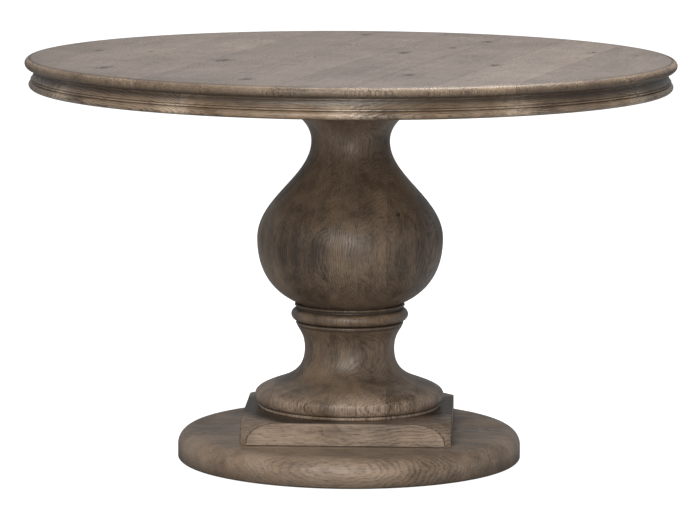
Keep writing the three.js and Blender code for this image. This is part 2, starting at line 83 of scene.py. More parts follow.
# ---- Sizes and colours that a user would change ---------------------------------------------

def linear(code):
    """Turns an sRGB hex colour into the linear red, green, blue and alpha that Blender works in."""
    shares = [int(code[i:i + 2], 16) / 255 for i in (1, 3, 5)]
    return [c / 12.92 if c <= 0.04045 else ((c + 0.055) / 1.055) ** 2.4 for c in shares] + [1.0]


def length(name, description, millimetres):
    """A length property, with its default in millimetres."""
    return bpy.props.FloatProperty(
        name=name, description=description, default=millimetres * MM, min=0, precision=4,
        unit="LENGTH",
    )


def colour(name, description, code):
    """A colour property, with its default as an sRGB hex code."""
    return bpy.props.FloatVectorProperty(
        name=name, description=description, default=linear(code), size=4, min=0, max=1,
        subtype="COLOR",
    )


class PedestalTopSizes(bpy.types.PropertyGroup):
    """The boarded top and the moulded edge below it"""
    turn: bpy.props.FloatProperty(
        name="Board turn", description="From the plinth's front to the length of the top's boards",
        default=math.radians(-14), subtype="ANGLE",
    )
    rim_radius: length("Rim radius", "From the middle of the top to the bead's widest", 609.5)
    bead_reach: length("Bead reach", "How far the rim's half-round bead stands out", 10)
    quirk_width: length("Quirk width", "Of the fine groove between the flat top and the bead", 2)
    quirk_depth: length("Quirk depth", "Of the same groove", 1.6)
    edge_inset: length("Edge inset", "From the rim in to the neck of the moulded edge", 17.2)
    edge_width: length("Edge width", "From the neck in to the edge's inner side", 72)
    fillet_reach: length("Fillet reach", "How far the edge's fillet stands out from the neck", 6.2)
    cove_flare: length("Cove flare", "How far the cove's lower end stands out from the neck", 4.7)
    lower_bead: length("Lower bead", "Height of the bead at the bottom of the edge", 15.5)
    lower_reach: length("Lower bead reach", "How far that bead stands out from the neck", 10.1)
    joint: length("Joint", "Half the hairline gap between two boards", 0.08)
    easing: length("Easing", "Chamfer along the boards' upper arrises", 0.2)


class PedestalColumnSizes(bpy.types.PropertyGroup):
    """The vase, collar and foot of the turned column"""
    abacus_radius: length("Abacus radius", "The flat disc at the top of the vase", 168)
    abacus_height: length("Abacus height", "Of the same disc", 20)
    cap_radius: length("Cap radius", "Where the flare meets the abacus", 164.5)
    cap_height: length("Cap height", "From the narrowest neck up to the abacus", 85.5)
    neck_radius: length("Neck radius", "At the neck's narrowest", 74)
    bulb_radius: length("Bulb radius", "At the bulb's widest", 175.2)
    bulb_rise: length("Bulb rise", "From the bulb's lower edge up to its widest", 120)
    bulb_foot: length("Bulb foot radius", "At the bulb's lower edge", 102)
    collar_radius: length("Collar radius", "At the collar ring's widest", 110.4)
    collar_lip: length("Collar lip radius", "The fine fillet above the collar's ring", 104)
    groove_radius: length("Groove radius", "At the bottom of the collar's grooves", 98)
    bead_radius: length("Bead radius", "The small bead below the collar", 101.5)
    scotia_radius: length("Scotia radius", "At the scotia's narrowest", 84.8)
    bell_radius: length("Bell radius", "Where the scotia's hollow turns into the torus", 118.2)
    torus_radius: length("Torus radius", "At the foot's widest", 178)
    ring_radius: length("Ring radius", "The thin ring under the torus", 171.5)
    spigot_radius: length("Spigot radius", "The tenon turned on each end", 45)
    bore_radius: length("Bore radius", "The hole for the tie rod", 7)
    stave_width: length("Stave width", "Of the upright boards that the blank is glued up from", 53)
    stave_shift: length("Stave shift", "Where one of their joints lies, right of the middle", 20)
    easing: length("Easing", "Rounding of the turned arrises", 0.6)


class PedestalBaseSizes(bpy.types.PropertyGroup):
    """The plinth, the round base and the levelling feet"""
    plinth_rounding: length("Plinth rounding", "Radius of the plinth's turned upper edge", 38)
    plinth_radius: length("Plinth radius", "Of the turned edge that clips the corners", 268.5)
    base_radius: length("Base radius", "Of the round base", 324)
    base_rounding: length("Base rounding", "Radius of the base's upper edge", 28)
    base_easing: length("Base easing", "Chamfer along the base's lower edge", 3)
    socket_radius: length("Socket radius", "In the plinth, for the column's spigot", 45.3)
    recess_radius: length("Recess radius", "Under the base, round the tie rod's nut", 21)
    pocket_radius: length("Pocket radius", "Under the base, round each levelling foot", 17)
    insert_radius: length("Insert hole radius", "For each brass insert", 6.8)
    pad_radius: length("Pad radius", "Of a levelling foot", 14)
    stem_radius: length("Stem radius", "Of its threaded stem", 4)


class PedestalColours(bpy.types.PropertyGroup):
    """The finishes"""
    # The top's grey is partly a grey wash and partly painted reflection of the pale room.
    top_dark: colour("Top, dark", "Open grain of the grey-washed top", "#49413c")
    top_light: colour("Top, light", "Dense grain of the grey-washed top", "#71665e")
    edge_dark: colour("Edge, dark", "Open grain of the edge boards", "#33281f")
    edge_light: colour("Edge, light", "Dense grain of the edge boards", "#8d7a66")
    end_light: colour("End grain, light", "Pale ticks in the edge's end grain", "#b9a793")
    column_dark: colour("Column, dark", "Open grain of the dark stained column", "#362c24")
    column_light: colour("Column, light", "Dense grain of the dark stained column", "#71604f")
    # The base colours are also laid over the column foot's torus, partly as a painted highlight.
    base_dark: colour("Base, dark", "Open grain of the plinth and base", "#4e4136")
    base_light: colour("Base, light", "Dense grain of the plinth and base", "#988573")
    # The glazing colour also paints shade in grooves, creases, the cove and under the beads.
    glaze_and_shade: colour("Glaze", "Dark glaze that has pooled in grooves and knots", "#261d16")
    floor: colour("Floor", "The studio floor", "#a0a0a0")


# ---- Modelling by hand ----------------------------------------------------------------------

def clear_selection():
    """Leaves edit mode with nothing selected, so that the next operator meets only its own piece."""
    if bpy.context.object and bpy.context.object.mode == "EDIT":
        bpy.ops.object.mode_set(mode="OBJECT")
    bpy.ops.object.select_all(action="DESELECT")


def work_on(piece):
    """Selects one piece and makes it the active one."""
    clear_selection()
    piece.select_set(True)
    bpy.context.view_layer.objects.active = piece


def name_piece(name):
    """Names the piece that was just added and puts its place into its mesh."""
    piece = bpy.context.object
    piece.name = piece.data.name = name
    bpy.ops.object.transform_apply(location=True, rotation=True, scale=True)
    return piece


def choose(piece, kind, test):
    """In edit mode, selects the corners (VERT), edges (EDGE) or faces (FACE) that pass a test."""
    bpy.ops.mesh.select_mode(type=kind)
    bpy.ops.mesh.select_all(action="DESELECT")
    shape = bmesh.from_edit_mesh(piece.data)
    for part in {"VERT": shape.verts, "EDGE": shape.edges, "FACE": shape.faces}[kind]:
        if test(part):
            part.select_set(True)
    bmesh.update_edit_mesh(piece.data)


def arc(centre, reach, start, end, steps):
    """Points (radius, height) along part of an ellipse, between two angles in degrees."""
    turns = [math.radians(start + (end - start) * i / steps) for i in range(steps + 1)]
    return [(centre[0] + reach[0] * math.cos(t), centre[1] + reach[1] * math.sin(t)) for t in turns]


def bezier(a, b, c, d, steps):
    """Points from a to d along the curve that leaves a towards b and reaches d from c."""
    points = []
    for i in range(steps + 1):
        t = i / steps
        shares = ((1 - t) ** 3, 3 * t * (1 - t) ** 2, 3 * t * t * (1 - t), t ** 3)
        points.append(tuple(sum(s * p[k] for s, p in zip(shares, (a, b, c, d))) for k in (0, 1)))
    return points


def sharp_corner(corner, least=math.radians(35)):
    """True where an upright outline turns sharply, away from the axis."""
    if len(corner.link_edges) != 2 or corner.co.x < MM:
        return False
    first, second = (edge.other_vert(corner).co - corner.co for edge in corner.link_edges)
    return math.pi - first.angle(second) > least


def middle_of_flat(corner):
    """True for the corner on the axis in the middle of a flat end."""
    flat = all(abs(face.normal.z) > 0.9999 for face in corner.link_faces)
    return flat and corner.co.xy.length < 0.01 * MM


def turned(name, outline, steps, easing):
    """Draws one side of a turned piece, corner by corner, eases its arrises and spins it upright."""
    clear_selection()
    radius, height = outline[0]
    bpy.ops.mesh.primitive_plane_add(size=MM, location=(radius, 0, height))
    piece = name_piece(name)
    bpy.ops.object.mode_set(mode="EDIT")
    bpy.ops.mesh.select_mode(type="VERT")
    bpy.ops.mesh.merge(type="CENTER")
    for here, there in zip(outline, outline[1:]):
        step = (there[0] - here[0], 0, there[1] - here[1])
        bpy.ops.mesh.extrude_region_move(TRANSFORM_OT_translate={"value": step})
    bpy.ops.mesh.select_all(action="SELECT")
    bpy.ops.mesh.remove_doubles(threshold=0.001 * MM)
    choose(piece, "VERT", sharp_corner)
    bpy.ops.mesh.bevel(offset=easing, segments=2, affect="VERTICES")
    bpy.ops.mesh.select_all(action="SELECT")
    bpy.ops.mesh.spin(steps=steps, angle=2 * math.pi, center=(0, 0, 0), axis=(0, 0, 1))
    bpy.ops.mesh.select_all(action="SELECT")
    bpy.ops.mesh.remove_doubles(threshold=0.002 * MM)
    bpy.ops.mesh.normals_make_consistent(inside=False)
    choose(piece, "VERT", middle_of_flat)
    bpy.ops.mesh.dissolve_verts()
    bpy.ops.object.mode_set(mode="OBJECT")
    return piece


def cut_away(piece, bit):
    """Takes the shape of a bit out of a piece and clears the bit away."""
    work_on(piece)
    cut = piece.modifiers.new("cut", "BOOLEAN")
    cut.object = bit
    cut.operation = "DIFFERENCE"
    cut.solver = "EXACT"
    bpy.ops.object.modifier_apply(modifier=cut.name)
    bpy.data.objects.remove(bit)


def drill(piece, radius, bottom, top, places=((0, 0),)):
    """Takes a round hole out of a piece at each place."""
    for x, y in places:
        clear_selection()
        bpy.ops.mesh.primitive_cylinder_add(
            vertices=48, radius=radius, depth=top - bottom, location=(x, y, (top + bottom) / 2),
        )
        cut_away(piece, name_piece("bit"))


def copy_of(piece, name):
    """A copy with its own mesh, ready to be worked on."""
    work_on(piece)
    bpy.ops.object.duplicate()
    copy = bpy.context.object
    copy.name = copy.data.name = name
    return copy


def stand_at(piece, node):
    """Stands a piece that was made at the origin in the place of a CAD node."""
    low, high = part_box(node)
    work_on(piece)
    piece.location = ((low.x + high.x) / 2, (low.y + high.y) / 2, low.z)
    bpy.ops.object.transform_apply(location=True)


def saw(place, outwards):
    """In edit mode, cuts off all that lies past a plane and closes the cut."""
    bpy.ops.mesh.select_all(action="SELECT")
    bpy.ops.mesh.bisect(plane_co=place, plane_no=outwards, use_fill=True, clear_outer=True)


def board(blank, name, across, start, end, sizes, height=None):
    """One board sawn out of a copy of the blank. Its upper arrises at that height are eased."""
    piece = copy_of(blank, name)
    bpy.ops.object.mode_set(mode="EDIT")
    for place, way in ((start, -1), (end, 1)):
        if place is None:
            continue
        side = across * way
        corner = across * place - side * sizes.joint
        saw(corner, side)
        if height is not None:
            arris = corner - side * sizes.easing + Vector((0, 0, height))
            saw(arris, (side + Vector((0, 0, 1))).normalized())
    bpy.ops.object.mode_set(mode="OBJECT")
    return piece


def from_cad(node, name, easing):
    """A merged copy of a fitting's own solid with its arrises eased."""
    piece = copy_of(frame["nodes"][node], name)
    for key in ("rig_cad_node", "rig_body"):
        del piece[key]
    piece.parent = None
    bpy.ops.object.mode_set(mode="EDIT")
    bpy.ops.mesh.select_all(action="SELECT")
    bpy.ops.mesh.remove_doubles(threshold=0.01 * MM)
    bpy.ops.mesh.dissolve_limited(angle_limit=math.radians(1))
    bpy.ops.object.mode_set(mode="OBJECT")
    edge = piece.modifiers.new("eased arrises", "BEVEL")
    edge.width = easing
    edge.segments = 2
    edge.angle_limit = math.radians(40)
    bpy.ops.object.modifier_apply(modifier=edge.name)
    return piece


def write_attribute(piece, name, kind, values):
    """Stores one value for each corner of the piece's mesh."""
    attribute = piece.data.attributes.new(name, kind, "POINT")
    flat = [number for value in values for number in value] if kind == "FLOAT_VECTOR" else values
    attribute.data.foreach_set("vector" if kind == "FLOAT_VECTOR" else "value", flat)


def lay_grain(piece, across, along, number):
    """Stores each corner's place in its board's own axes, and the board's middle and number."""
    lay = [(across.dot(c.co), c.co.z, along.dot(c.co)) for c in piece.data.vertices]
    middle = [(min(p[k] for p in lay) + max(p[k] for p in lay)) / 2 for k in (0, 1)]
    write_attribute(piece, "lay", "FLOAT_VECTOR", lay)
    write_attribute(piece, "board", "FLOAT_VECTOR", [(*middle, number)] * len(lay))


def pool_glazing_and_shade(piece, grooves, reach, shaded_hollows=(), wide=1.0):
    """Stores how much glazing and painted shade lies at each corner: full on a groove's ring, where
    glazing and painted shade meet, less in the wider hollows, which hold painted shade only, and none
    past the reach of either."""
    values = []
    for corner in piece.data.vertices:
        radius = corner.co.xy.length
        near, far = (
            min((math.hypot(radius - r, corner.co.z - z) for r, z in rings), default=wide)
            for rings in (grooves, shaded_hollows)
        )
        values.append(max(0.0, 1 - near / reach, 0.95 * (1 - far / wide)))
    write_attribute(piece, "glaze_and_shade", "FLOAT", values)


def finish_piece(piece, material, *nodes):
    """Gives a piece its material, smooth curves and CAD body, and hides the CAD nodes it stands for.
    """
    piece.data.materials.clear()
    piece.data.materials.append(material)
    work_on(piece)
    bpy.ops.object.shade_smooth_by_angle(angle=math.radians(32))
    clear_selection()
    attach(piece, frame["nodes"][nodes[0]]["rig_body"])
    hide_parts(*nodes)


def sawn_boards(blank, nodes, across, along, first, sizes, level):
    """Saws the blank into one board for each node and lays its grain. The outer two boards keep
    the blank's own edge. The boards are numbered from the first number given."""
    pieces = []
    for i, node in enumerate(nodes):
        places = [across.dot(corner.co) for corner in frame["nodes"][node].data.vertices]
        start = None if i == 0 else min(places)
        end = None if i == len(nodes) - 1 else max(places)
        pieces.append(board(blank, "oak_" + node, across, start, end, sizes, level))
        lay_grain(pieces[-1], across, along, first + i)
    bpy.data.objects.remove(blank)
    return pieces


def level_axes(turn):
    """The level direction at an angle from +X, and the one square to it."""
    across = Vector((math.cos(turn), math.sin(turn), 0))
    return across, Vector((-across.y, across.x, 0))


def middle_angle(node):
    """The angle about the axis, from +X, of the middle of a node that lies round it."""
    places = [corner.co.xy for corner in frame["nodes"][node].data.vertices]
    guess = sum(places, Vector((0, 0)))
    turns = [guess.angle_signed(place) for place in places]
    return math.atan2(guess.y, guess.x) - (min(turns) + max(turns)) / 2


def nodes_named(stem):
    """The CAD nodes stem_1, stem_2 and so on, in their order."""
    found = [node for node in frame["nodes"] if node.rpartition("_")[0] == stem]
    return sorted(found, key=lambda node: int(node.rpartition("_")[2]))


# ---- Materials ------------------------------------------------------------------------------

def add(tree, kind, inputs, give=0, **settings):
    """Adds a node, fills or links its inputs, and gives back one of its outputs."""
    node = tree.nodes.new("ShaderNode" + kind)
    for key, value in settings.items():
        setattr(node, key, value)
    for key, value in inputs.items():
        if isinstance(value, bpy.types.NodeSocket):
            tree.links.new(value, node.inputs[key])
        else:
            node.inputs[key].default_value = value
    return node.outputs[give]


def new_material(name):
    """An empty material and its node tree."""
    material = bpy.data.materials.new(name)
    material.use_nodes = True
    material.node_tree.nodes.clear()
    return material, material.node_tree


def close_material(tree, surface):
    """Links the finished shader to the material's output."""
    output = tree.nodes.new("ShaderNodeOutputMaterial")
    tree.links.new(surface, output.inputs["Surface"])


# The number that the column's boards count from. It only picks each board's tone and grain.
FIRST_STAVE = 31.0


def stave_coordinates(tree, sizes):
    """Of each point of a turned blank: its place, the middle and number of the upright board that
    it lies in, and how far it is past that board's left joint, as a share of the board's width."""
    place = add(tree, "TexCoord", {}, give="Object")
    columns = []
    for axis, shift in ((0, sizes.stave_shift), (1, 0)):
        along = add(tree, "SeparateXYZ", {0: place}, give=axis)
        moved = add(tree, "Math", {0: along, 1: shift}, operation="SUBTRACT")
        step = add(tree, "Math", {0: moved, 1: sizes.stave_width}, operation="DIVIDE")
        columns.append((add(tree, "Math", {0: step}, operation="FLOOR"), step, shift))
    middles = [
        add(tree, "Math", {0: index, 1: sizes.stave_width, 2: shift + sizes.stave_width / 2},
            operation="MULTIPLY_ADD")
        for index, step, shift in columns
    ]
    number = add(tree, "Math", {0: columns[0][0], 1: 7.0, 2: columns[1][0]},
                 operation="MULTIPLY_ADD")
    number = add(tree, "Math", {0: number, 1: FIRST_STAVE}, operation="ADD")
    middle = add(tree, "CombineXYZ", {0: middles[0], 1: middles[1], 2: number})
    past_joint = add(tree, "Math", {0: columns[0][1]}, operation="FRACT")
    return place, middle, past_joint


def knot_masks(tree, lay, own, knots, knot_size):
    """Masks of the knots' cracked cores and of the halo round them that the rings bend about. The
    knots lie at the given places, or are scattered where there are none."""
    if knots:
        ragged = add(tree, "TexNoise", {"Vector": lay, "Scale": 90.0, "Detail": 2.0}, give=1)
        ragged = add(tree, "VectorMath", {0: ragged, 1: (0.012, 0.0, 0.02), 2: lay},
                     operation="MULTIPLY_ADD")
        nearest = 100.0
        for across, along, size in knots:
            apart = add(tree, "VectorMath", {0: ragged, 1: (across + 0.006, 0, along + 0.01)},
                        operation="SUBTRACT")
            scaled = add(tree, "VectorMath", {0: apart, 1: (1 / size, 0, 0.5 / size)},
                         operation="MULTIPLY")
            far = add(tree, "VectorMath", {0: scaled}, give=1, operation="LENGTH")
            nearest = add(tree, "Math", {0: far, 1: nearest}, operation="MINIMUM")
    else:
        cells = add(tree, "VectorMath", {0: own, 1: (9, 9, 4)}, operation="MULTIPLY")
        far = add(tree, "TexVoronoi", {"Vector": cells, "Scale": 1.0, "Randomness": 1.0})
        nearest = add(tree, "Math", {0: far, 1: 1 / (9 * knot_size)}, operation="MULTIPLY")
    crack = add(tree, "TexNoise", {"Vector": lay, "Scale": 170.0, "Detail": 2.0})
    crack = add(tree, "MapRange", {0: crack, 1: 0.5, 2: 0.58, 3: 0.0, 4: 1.6})
    core = add(tree, "Math", {0: nearest, 1: crack}, operation="SUBTRACT")
    core = add(tree, "MapRange", {0: core, 1: 0.3, 2: 1.0, 3: 1.0, 4: 0.0},
               interpolation_type="SMOOTHSTEP")
    halo = add(tree, "MapRange", {0: nearest, 1: 0.6, 2: 3.5, 3: 1.0, 4: 0.0},
               interpolation_type="SMOOTHSTEP")
    return core, halo


def growth_rings(tree, lay, own, middle, chance, halo, ring):
    """How dense the wood is: 0 in each ring's open early wood and 1 in its late wood."""
    slow = add(tree, "VectorMath", {0: own, 1: (6.0, 6.0, 2.0)}, operation="MULTIPLY")
    wander = add(tree, "TexNoise", {"Vector": slow, "Scale": 1.0, "Detail": 3.0, "Roughness": 0.4},
                 give=1)
    moved = add(tree, "VectorMath", {0: wander, 1: (0.12, 0.12, 0), 2: lay},
                operation="MULTIPLY_ADD")
    pith = add(tree, "VectorMath", {0: chance, 1: (0.16, 0.2, 0), 2: middle},
               operation="MULTIPLY_ADD")
    pith = add(tree, "VectorMath", {0: pith, 1: (-0.08, 0.06, 0)}, operation="ADD")
    radius = add(tree, "VectorMath", {0: moved, 1: pith}, operation="SUBTRACT")
    radius = add(tree, "VectorMath", {0: radius, 1: (1, 1, 0)}, operation="MULTIPLY")
    radius = add(tree, "VectorMath", {0: radius}, give=1, operation="LENGTH")
    radius = add(tree, "Math", {0: halo, 1: 2.2 * ring, 2: radius}, operation="MULTIPLY_ADD")
    uneven = add(tree, "TexNoise", {"Vector": own, "Scale": 42.0, "Detail": 2.0})
    phase = add(tree, "Math", {0: radius, 1: ring}, operation="DIVIDE")
    phase = add(tree, "Math", {0: uneven, 1: 2.0, 2: phase}, operation="MULTIPLY_ADD")
    phase = add(tree, "Math", {0: phase}, operation="FRACT")
    rise = add(tree, "MapRange", {0: phase, 1: 0.05, 2: 0.55}, interpolation_type="SMOOTHSTEP")
    fall = add(tree, "MapRange", {0: phase, 1: 0.84, 2: 1.0, 3: 1.0, 4: 0.0},
               interpolation_type="SMOOTHSTEP")
    return add(tree, "Math", {0: rise, 1: fall}, operation="MULTIPLY")


def end_grain(tree, value, colours, slant):
    """Colour where an edge is cut across its grain: ticks about 2 mm wide over the wood's own
    lightness. They lean by the slant, and they are strong in some places and faint in others."""
    place = add(tree, "TexCoord", {}, give="Object")
    level = add(tree, "SeparateXYZ", {0: place}, give=2)
    lean = add(tree, "CombineXYZ", {0: level, 1: level})
    lean = add(tree, "VectorMath", {0: lean, 1: (slant, slant, 0), 2: place},
               operation="MULTIPLY_ADD")
    upright = add(tree, "VectorMath", {0: lean, 1: (420, 420, 45)}, operation="MULTIPLY")
    ticks = add(tree, "TexNoise", {"Vector": upright, "Scale": 1.0, "Detail": 1.0})
    spread = add(tree, "TexNoise", {"Vector": place, "Scale": 8.0, "Detail": 2.0})
    spread = add(tree, "MapRange", {0: spread, 1: 0.45, 2: 0.6, 3: 0.3, 4: 2.0})
    ticks = add(tree, "Math", {0: ticks, 1: 0.5}, operation="SUBTRACT")
    # On the column foot these ticks and lighter colours also paint a highlight on the torus.
    wear_and_painted_highlight = add(tree, "Math", {0: ticks, 1: spread, 2: value}, operation="MULTIPLY_ADD")
    return add(tree, "Mix", {0: wear_and_painted_highlight, 6: colours[0], 7: colours[1]}, give=2,
               data_type="RGBA", clamp_factor=True)


def oak(name, dark, light, glaze_and_shade, ring, ring_depth, patches, roughness, relief, sheen,
        staves=None, knots=(), knot_size=0.007, warm=(1.0, 0.78, 0.5, 1.0), warm_share=0.3,
        streaks=0.9, board_tone=0.3, rim_colours=None, slant=0.0):
    """Flat-sawn oak, wire-brushed, stained and lacquered. Growth rings lie round a pith outside each
    board and wander along it, so faces show cathedrals and ends show arcs. The open grain is dark,
    the dense grain between is light, and the dark glazing colour lies in pores and knots, and over
    each piece's pooled mask: glazing in grooves with painted shade in creases, hollows and under
    beads."""
    material, tree = new_material(name)
    if staves:
        lay, middle, past_joint = stave_coordinates(tree, staves)
    else:
        lay = add(tree, "Attribute", {}, give="Vector", attribute_name="lay")
        middle = add(tree, "Attribute", {}, give="Vector", attribute_name="board")
    number = add(tree, "SeparateXYZ", {0: middle}, give=2)
    chance = add(tree, "TexWhiteNoise", {"W": number}, give=1, noise_dimensions="1D")
    tone = add(tree, "SeparateXYZ", {0: chance}, give=2)
    own = add(tree, "VectorMath", {0: chance, 1: (9, 9, 9), 2: lay}, operation="MULTIPLY_ADD")

    core, halo = knot_masks(tree, lay, own, knots, knot_size)
    late = growth_rings(tree, lay, own, middle, chance, halo, ring)
    shown = add(tree, "TexNoise", {"Vector": own, "Scale": 7.0, "Detail": 2.0})
    shown = add(tree, "MapRange", {0: shown, 1: 0.4, 2: 0.65, 3: 0.25, 4: 1.0})
    ring_light = add(tree, "Math", {0: late, 1: 0.5}, operation="SUBTRACT")
    ring_light = add(tree, "Math", {0: ring_light, 1: shown, 2: 0.5}, operation="MULTIPLY_ADD")

    # Fibres 2.2 mm wide, pores 1.8 mm wide and 14 mm long, streaks 16 mm wide, patches 90 mm.
    stretched = {}
    for grain, size, long, detail in (
        ("fibre", 2.2, 45, 3.0), ("pore", 1.8, 14, 1.0), ("streak", 16, 240, 3.0),
    ):
        scale = (1 / (size * MM), 1 / (size * MM), 1 / (long * MM))
        narrow = add(tree, "VectorMath", {0: own, 1: scale}, operation="MULTIPLY")
        stretched[grain] = add(tree, "TexNoise", {"Vector": narrow, "Scale": 1.0, "Detail": detail})
    pore = add(tree, "MapRange", {0: stretched["pore"], 1: 0.54, 2: 0.64},
               interpolation_type="SMOOTHSTEP")
    open_grain = add(tree, "Math", {0: late, 1: -0.8, 2: 1.0}, operation="MULTIPLY_ADD")
    pore = add(tree, "Math", {0: pore, 1: open_grain}, operation="MULTIPLY")
    patch = add(tree, "TexNoise", {"Vector": lay, "Scale": 11.0, "Detail": 6.0, "Roughness": 0.65})
    wide = add(tree, "TexNoise", {"Vector": lay, "Scale": 3.5, "Detail": 1.0})

    # How light each point is, around a half.
    value = 0.5
    for part, weight in (
        (ring_light, ring_depth), (stretched["fibre"], 1.0), (stretched["streak"], streaks),
        (patch, patches), (wide, 0.5), (tone, board_tone),
    ):
        level = add(tree, "Math", {0: part, 1: 0.5}, operation="SUBTRACT")
        value = add(tree, "Math", {0: level, 1: weight, 2: value}, operation="MULTIPLY_ADD")
    surface = add(tree, "Mix", {0: value, 6: dark, 7: light}, give=2, data_type="RGBA",
                  clamp_factor=True)
    rim = add(tree, "Attribute", {}, give="Fac", attribute_name="rim")
    if rim_colours:
        ticked = end_grain(tree, value, rim_colours, slant)
        surface = add(tree, "Mix", {0: rim, 6: surface, 7: ticked}, give=2, data_type="RGBA")
    warmth = add(tree, "TexNoise", {"Vector": own, "Scale": 13.0, "Detail": 3.0})
    warmth = add(tree, "MapRange", {0: warmth, 1: 0.5, 2: 0.72, 3: 0.0, 4: warm_share})
    surface = add(tree, "Mix", {0: warmth, 6: surface, 7: warm}, give=2, data_type="RGBA",
                  blend_type="MULTIPLY")
    # The pooled mask is glazing in grooves together with painted shade in creases, hollows and under
    # beads.
    pooled_glazing_and_shade = add(tree, "Attribute", {}, give="Fac", attribute_name="glaze_and_shade")
    for mask, weight in ((pore, 0.5), (halo, 0.3), (core, 0.9), (pooled_glazing_and_shade, 0.9)):
        amount = add(tree, "Math", {0: mask, 1: weight}, operation="MULTIPLY")
        surface = add(tree, "Mix", {0: amount, 6: surface, 7: glaze_and_shade}, give=2, data_type="RGBA")
    if staves:
        line = add(tree, "MapRange", {0: past_joint, 1: 0.0, 2: 0.012, 3: 0.6, 4: 0.0})
        surface = add(tree, "Mix", {0: line, 6: surface, 7: glaze_and_shade}, give=2, data_type="RGBA")

    height = late
    for part, weight in ((pore, -1.0), (core, -1.5), (stretched["fibre"], 0.6)):
        height = add(tree, "Math", {0: part, 1: weight, 2: height}, operation="MULTIPLY_ADD")
    normal = add(tree, "Bump", {"Height": height, "Strength": relief, "Distance": 0.6 * MM})
    rough = add(tree, "MapRange", {0: late, 3: roughness + 0.08, 4: roughness - 0.04})
    close_material(tree, add(tree, "BsdfPrincipled", {
        "Base Color": surface, "Roughness": rough, "Normal": normal, "IOR": 1.5,
        "Specular IOR Level": 0.35,
        "Coat Weight": sheen, "Coat Roughness": 0.32,
    }))
    return material


def metal(name, code, roughness, brushed):
    """A plated or machined metal with fine turning marks a fraction of a millimetre apart."""
    material, tree = new_material(name)
    place = add(tree, "TexCoord", {}, give="Object")
    marks = add(tree, "VectorMath", {0: place, 1: (150, 150, 2500)}, operation="MULTIPLY")
    marks = add(tree, "TexNoise", {"Vector": marks, "Scale": 1.0, "Detail": 2.0})
    rough = add(tree, "MapRange", {0: marks, 3: roughness - brushed, 4: roughness + brushed})
    dull = add(tree, "TexNoise", {"Vector": place, "Scale": 60.0, "Detail": 3.0})
    shade = add(tree, "MapRange", {0: dull, 3: 0.75, 4: 1.1})
    tint = add(tree, "VectorMath", {0: linear(code)[:3], 3: shade}, operation="SCALE")
    normal = add(tree, "Bump", {"Height": marks, "Strength": 0.15, "Distance": 0.1 * MM})
    close_material(tree, add(tree, "BsdfPrincipled", {
        "Base Color": tint, "Roughness": rough, "Metallic": 1.0, "Normal": normal,
    }))
    return material


def nylon(name):
    """Moulded black nylon: a soft, even gloss over a fine spark-eroded texture."""
    material, tree = new_material(name)
    place = add(tree, "TexCoord", {}, give="Object")
    texture = add(tree, "TexNoise", {"Vector": place, "Scale": 1400.0, "Detail": 2.0})
    tint = add(tree, "Mix", {0: texture, 6: linear("#1c1b1a"), 7: linear("#2f2d2b")}, give=2,
               data_type="RGBA")
    normal = add(tree, "Bump", {"Height": texture, "Strength": 0.3, "Distance": 0.1 * MM})
    close_material(tree, add(tree, "BsdfPrincipled", {
        "Base Color": tint, "Roughness": 0.5, "Normal": normal, "IOR": 1.53,
    }))
    return material


def lit_floor(colour_value):
    """A matt white acrylic floor lit from below. It glows at full strength to the camera and
    only faintly to the table, so it lights no underside."""
    material, tree = new_material("lit_white_acrylic_floor")
    place = add(tree, "TexCoord", {}, give="Object")
    cloud = add(tree, "TexNoise", {"Vector": place, "Scale": 0.8, "Detail": 2.0})
    tint = add(tree, "MapRange", {0: cloud, 3: 0.98, 4: 1.0})
    shade = add(tree, "VectorMath", {0: colour_value[:3], 3: tint}, operation="SCALE")
    seen = add(tree, "LightPath", {}, give="Is Camera Ray")
    glow = add(tree, "MapRange", {0: seen, 3: 0.05, 4: 1.0})
    close_material(tree, add(tree, "BsdfPrincipled", {
        "Base Color": shade, "Roughness": 0.8, "IOR": 1.49, "Emission Strength": glow,
        "Emission Color": (1.0, 1.0, 1.0, 1.0),
    }))
    return material


# ---- The pieces -----------------------------------------------------------------------------

# Where the top's knots lie, across and along its boards from the middle of the top, and half
# their width, in millimetres.
TOP_KNOTS = (
    (-360, -360, 7), (-200, -150, 7), (-50, -490, 6), (200, -320, 5), (300, -80, 6), (70, 120, 6),
    (410, 240, 5), (160, 410, 6), (-490, -30, 4), (-110, 490, 5), (-390, -20, 3), (130, 250, 4),
)


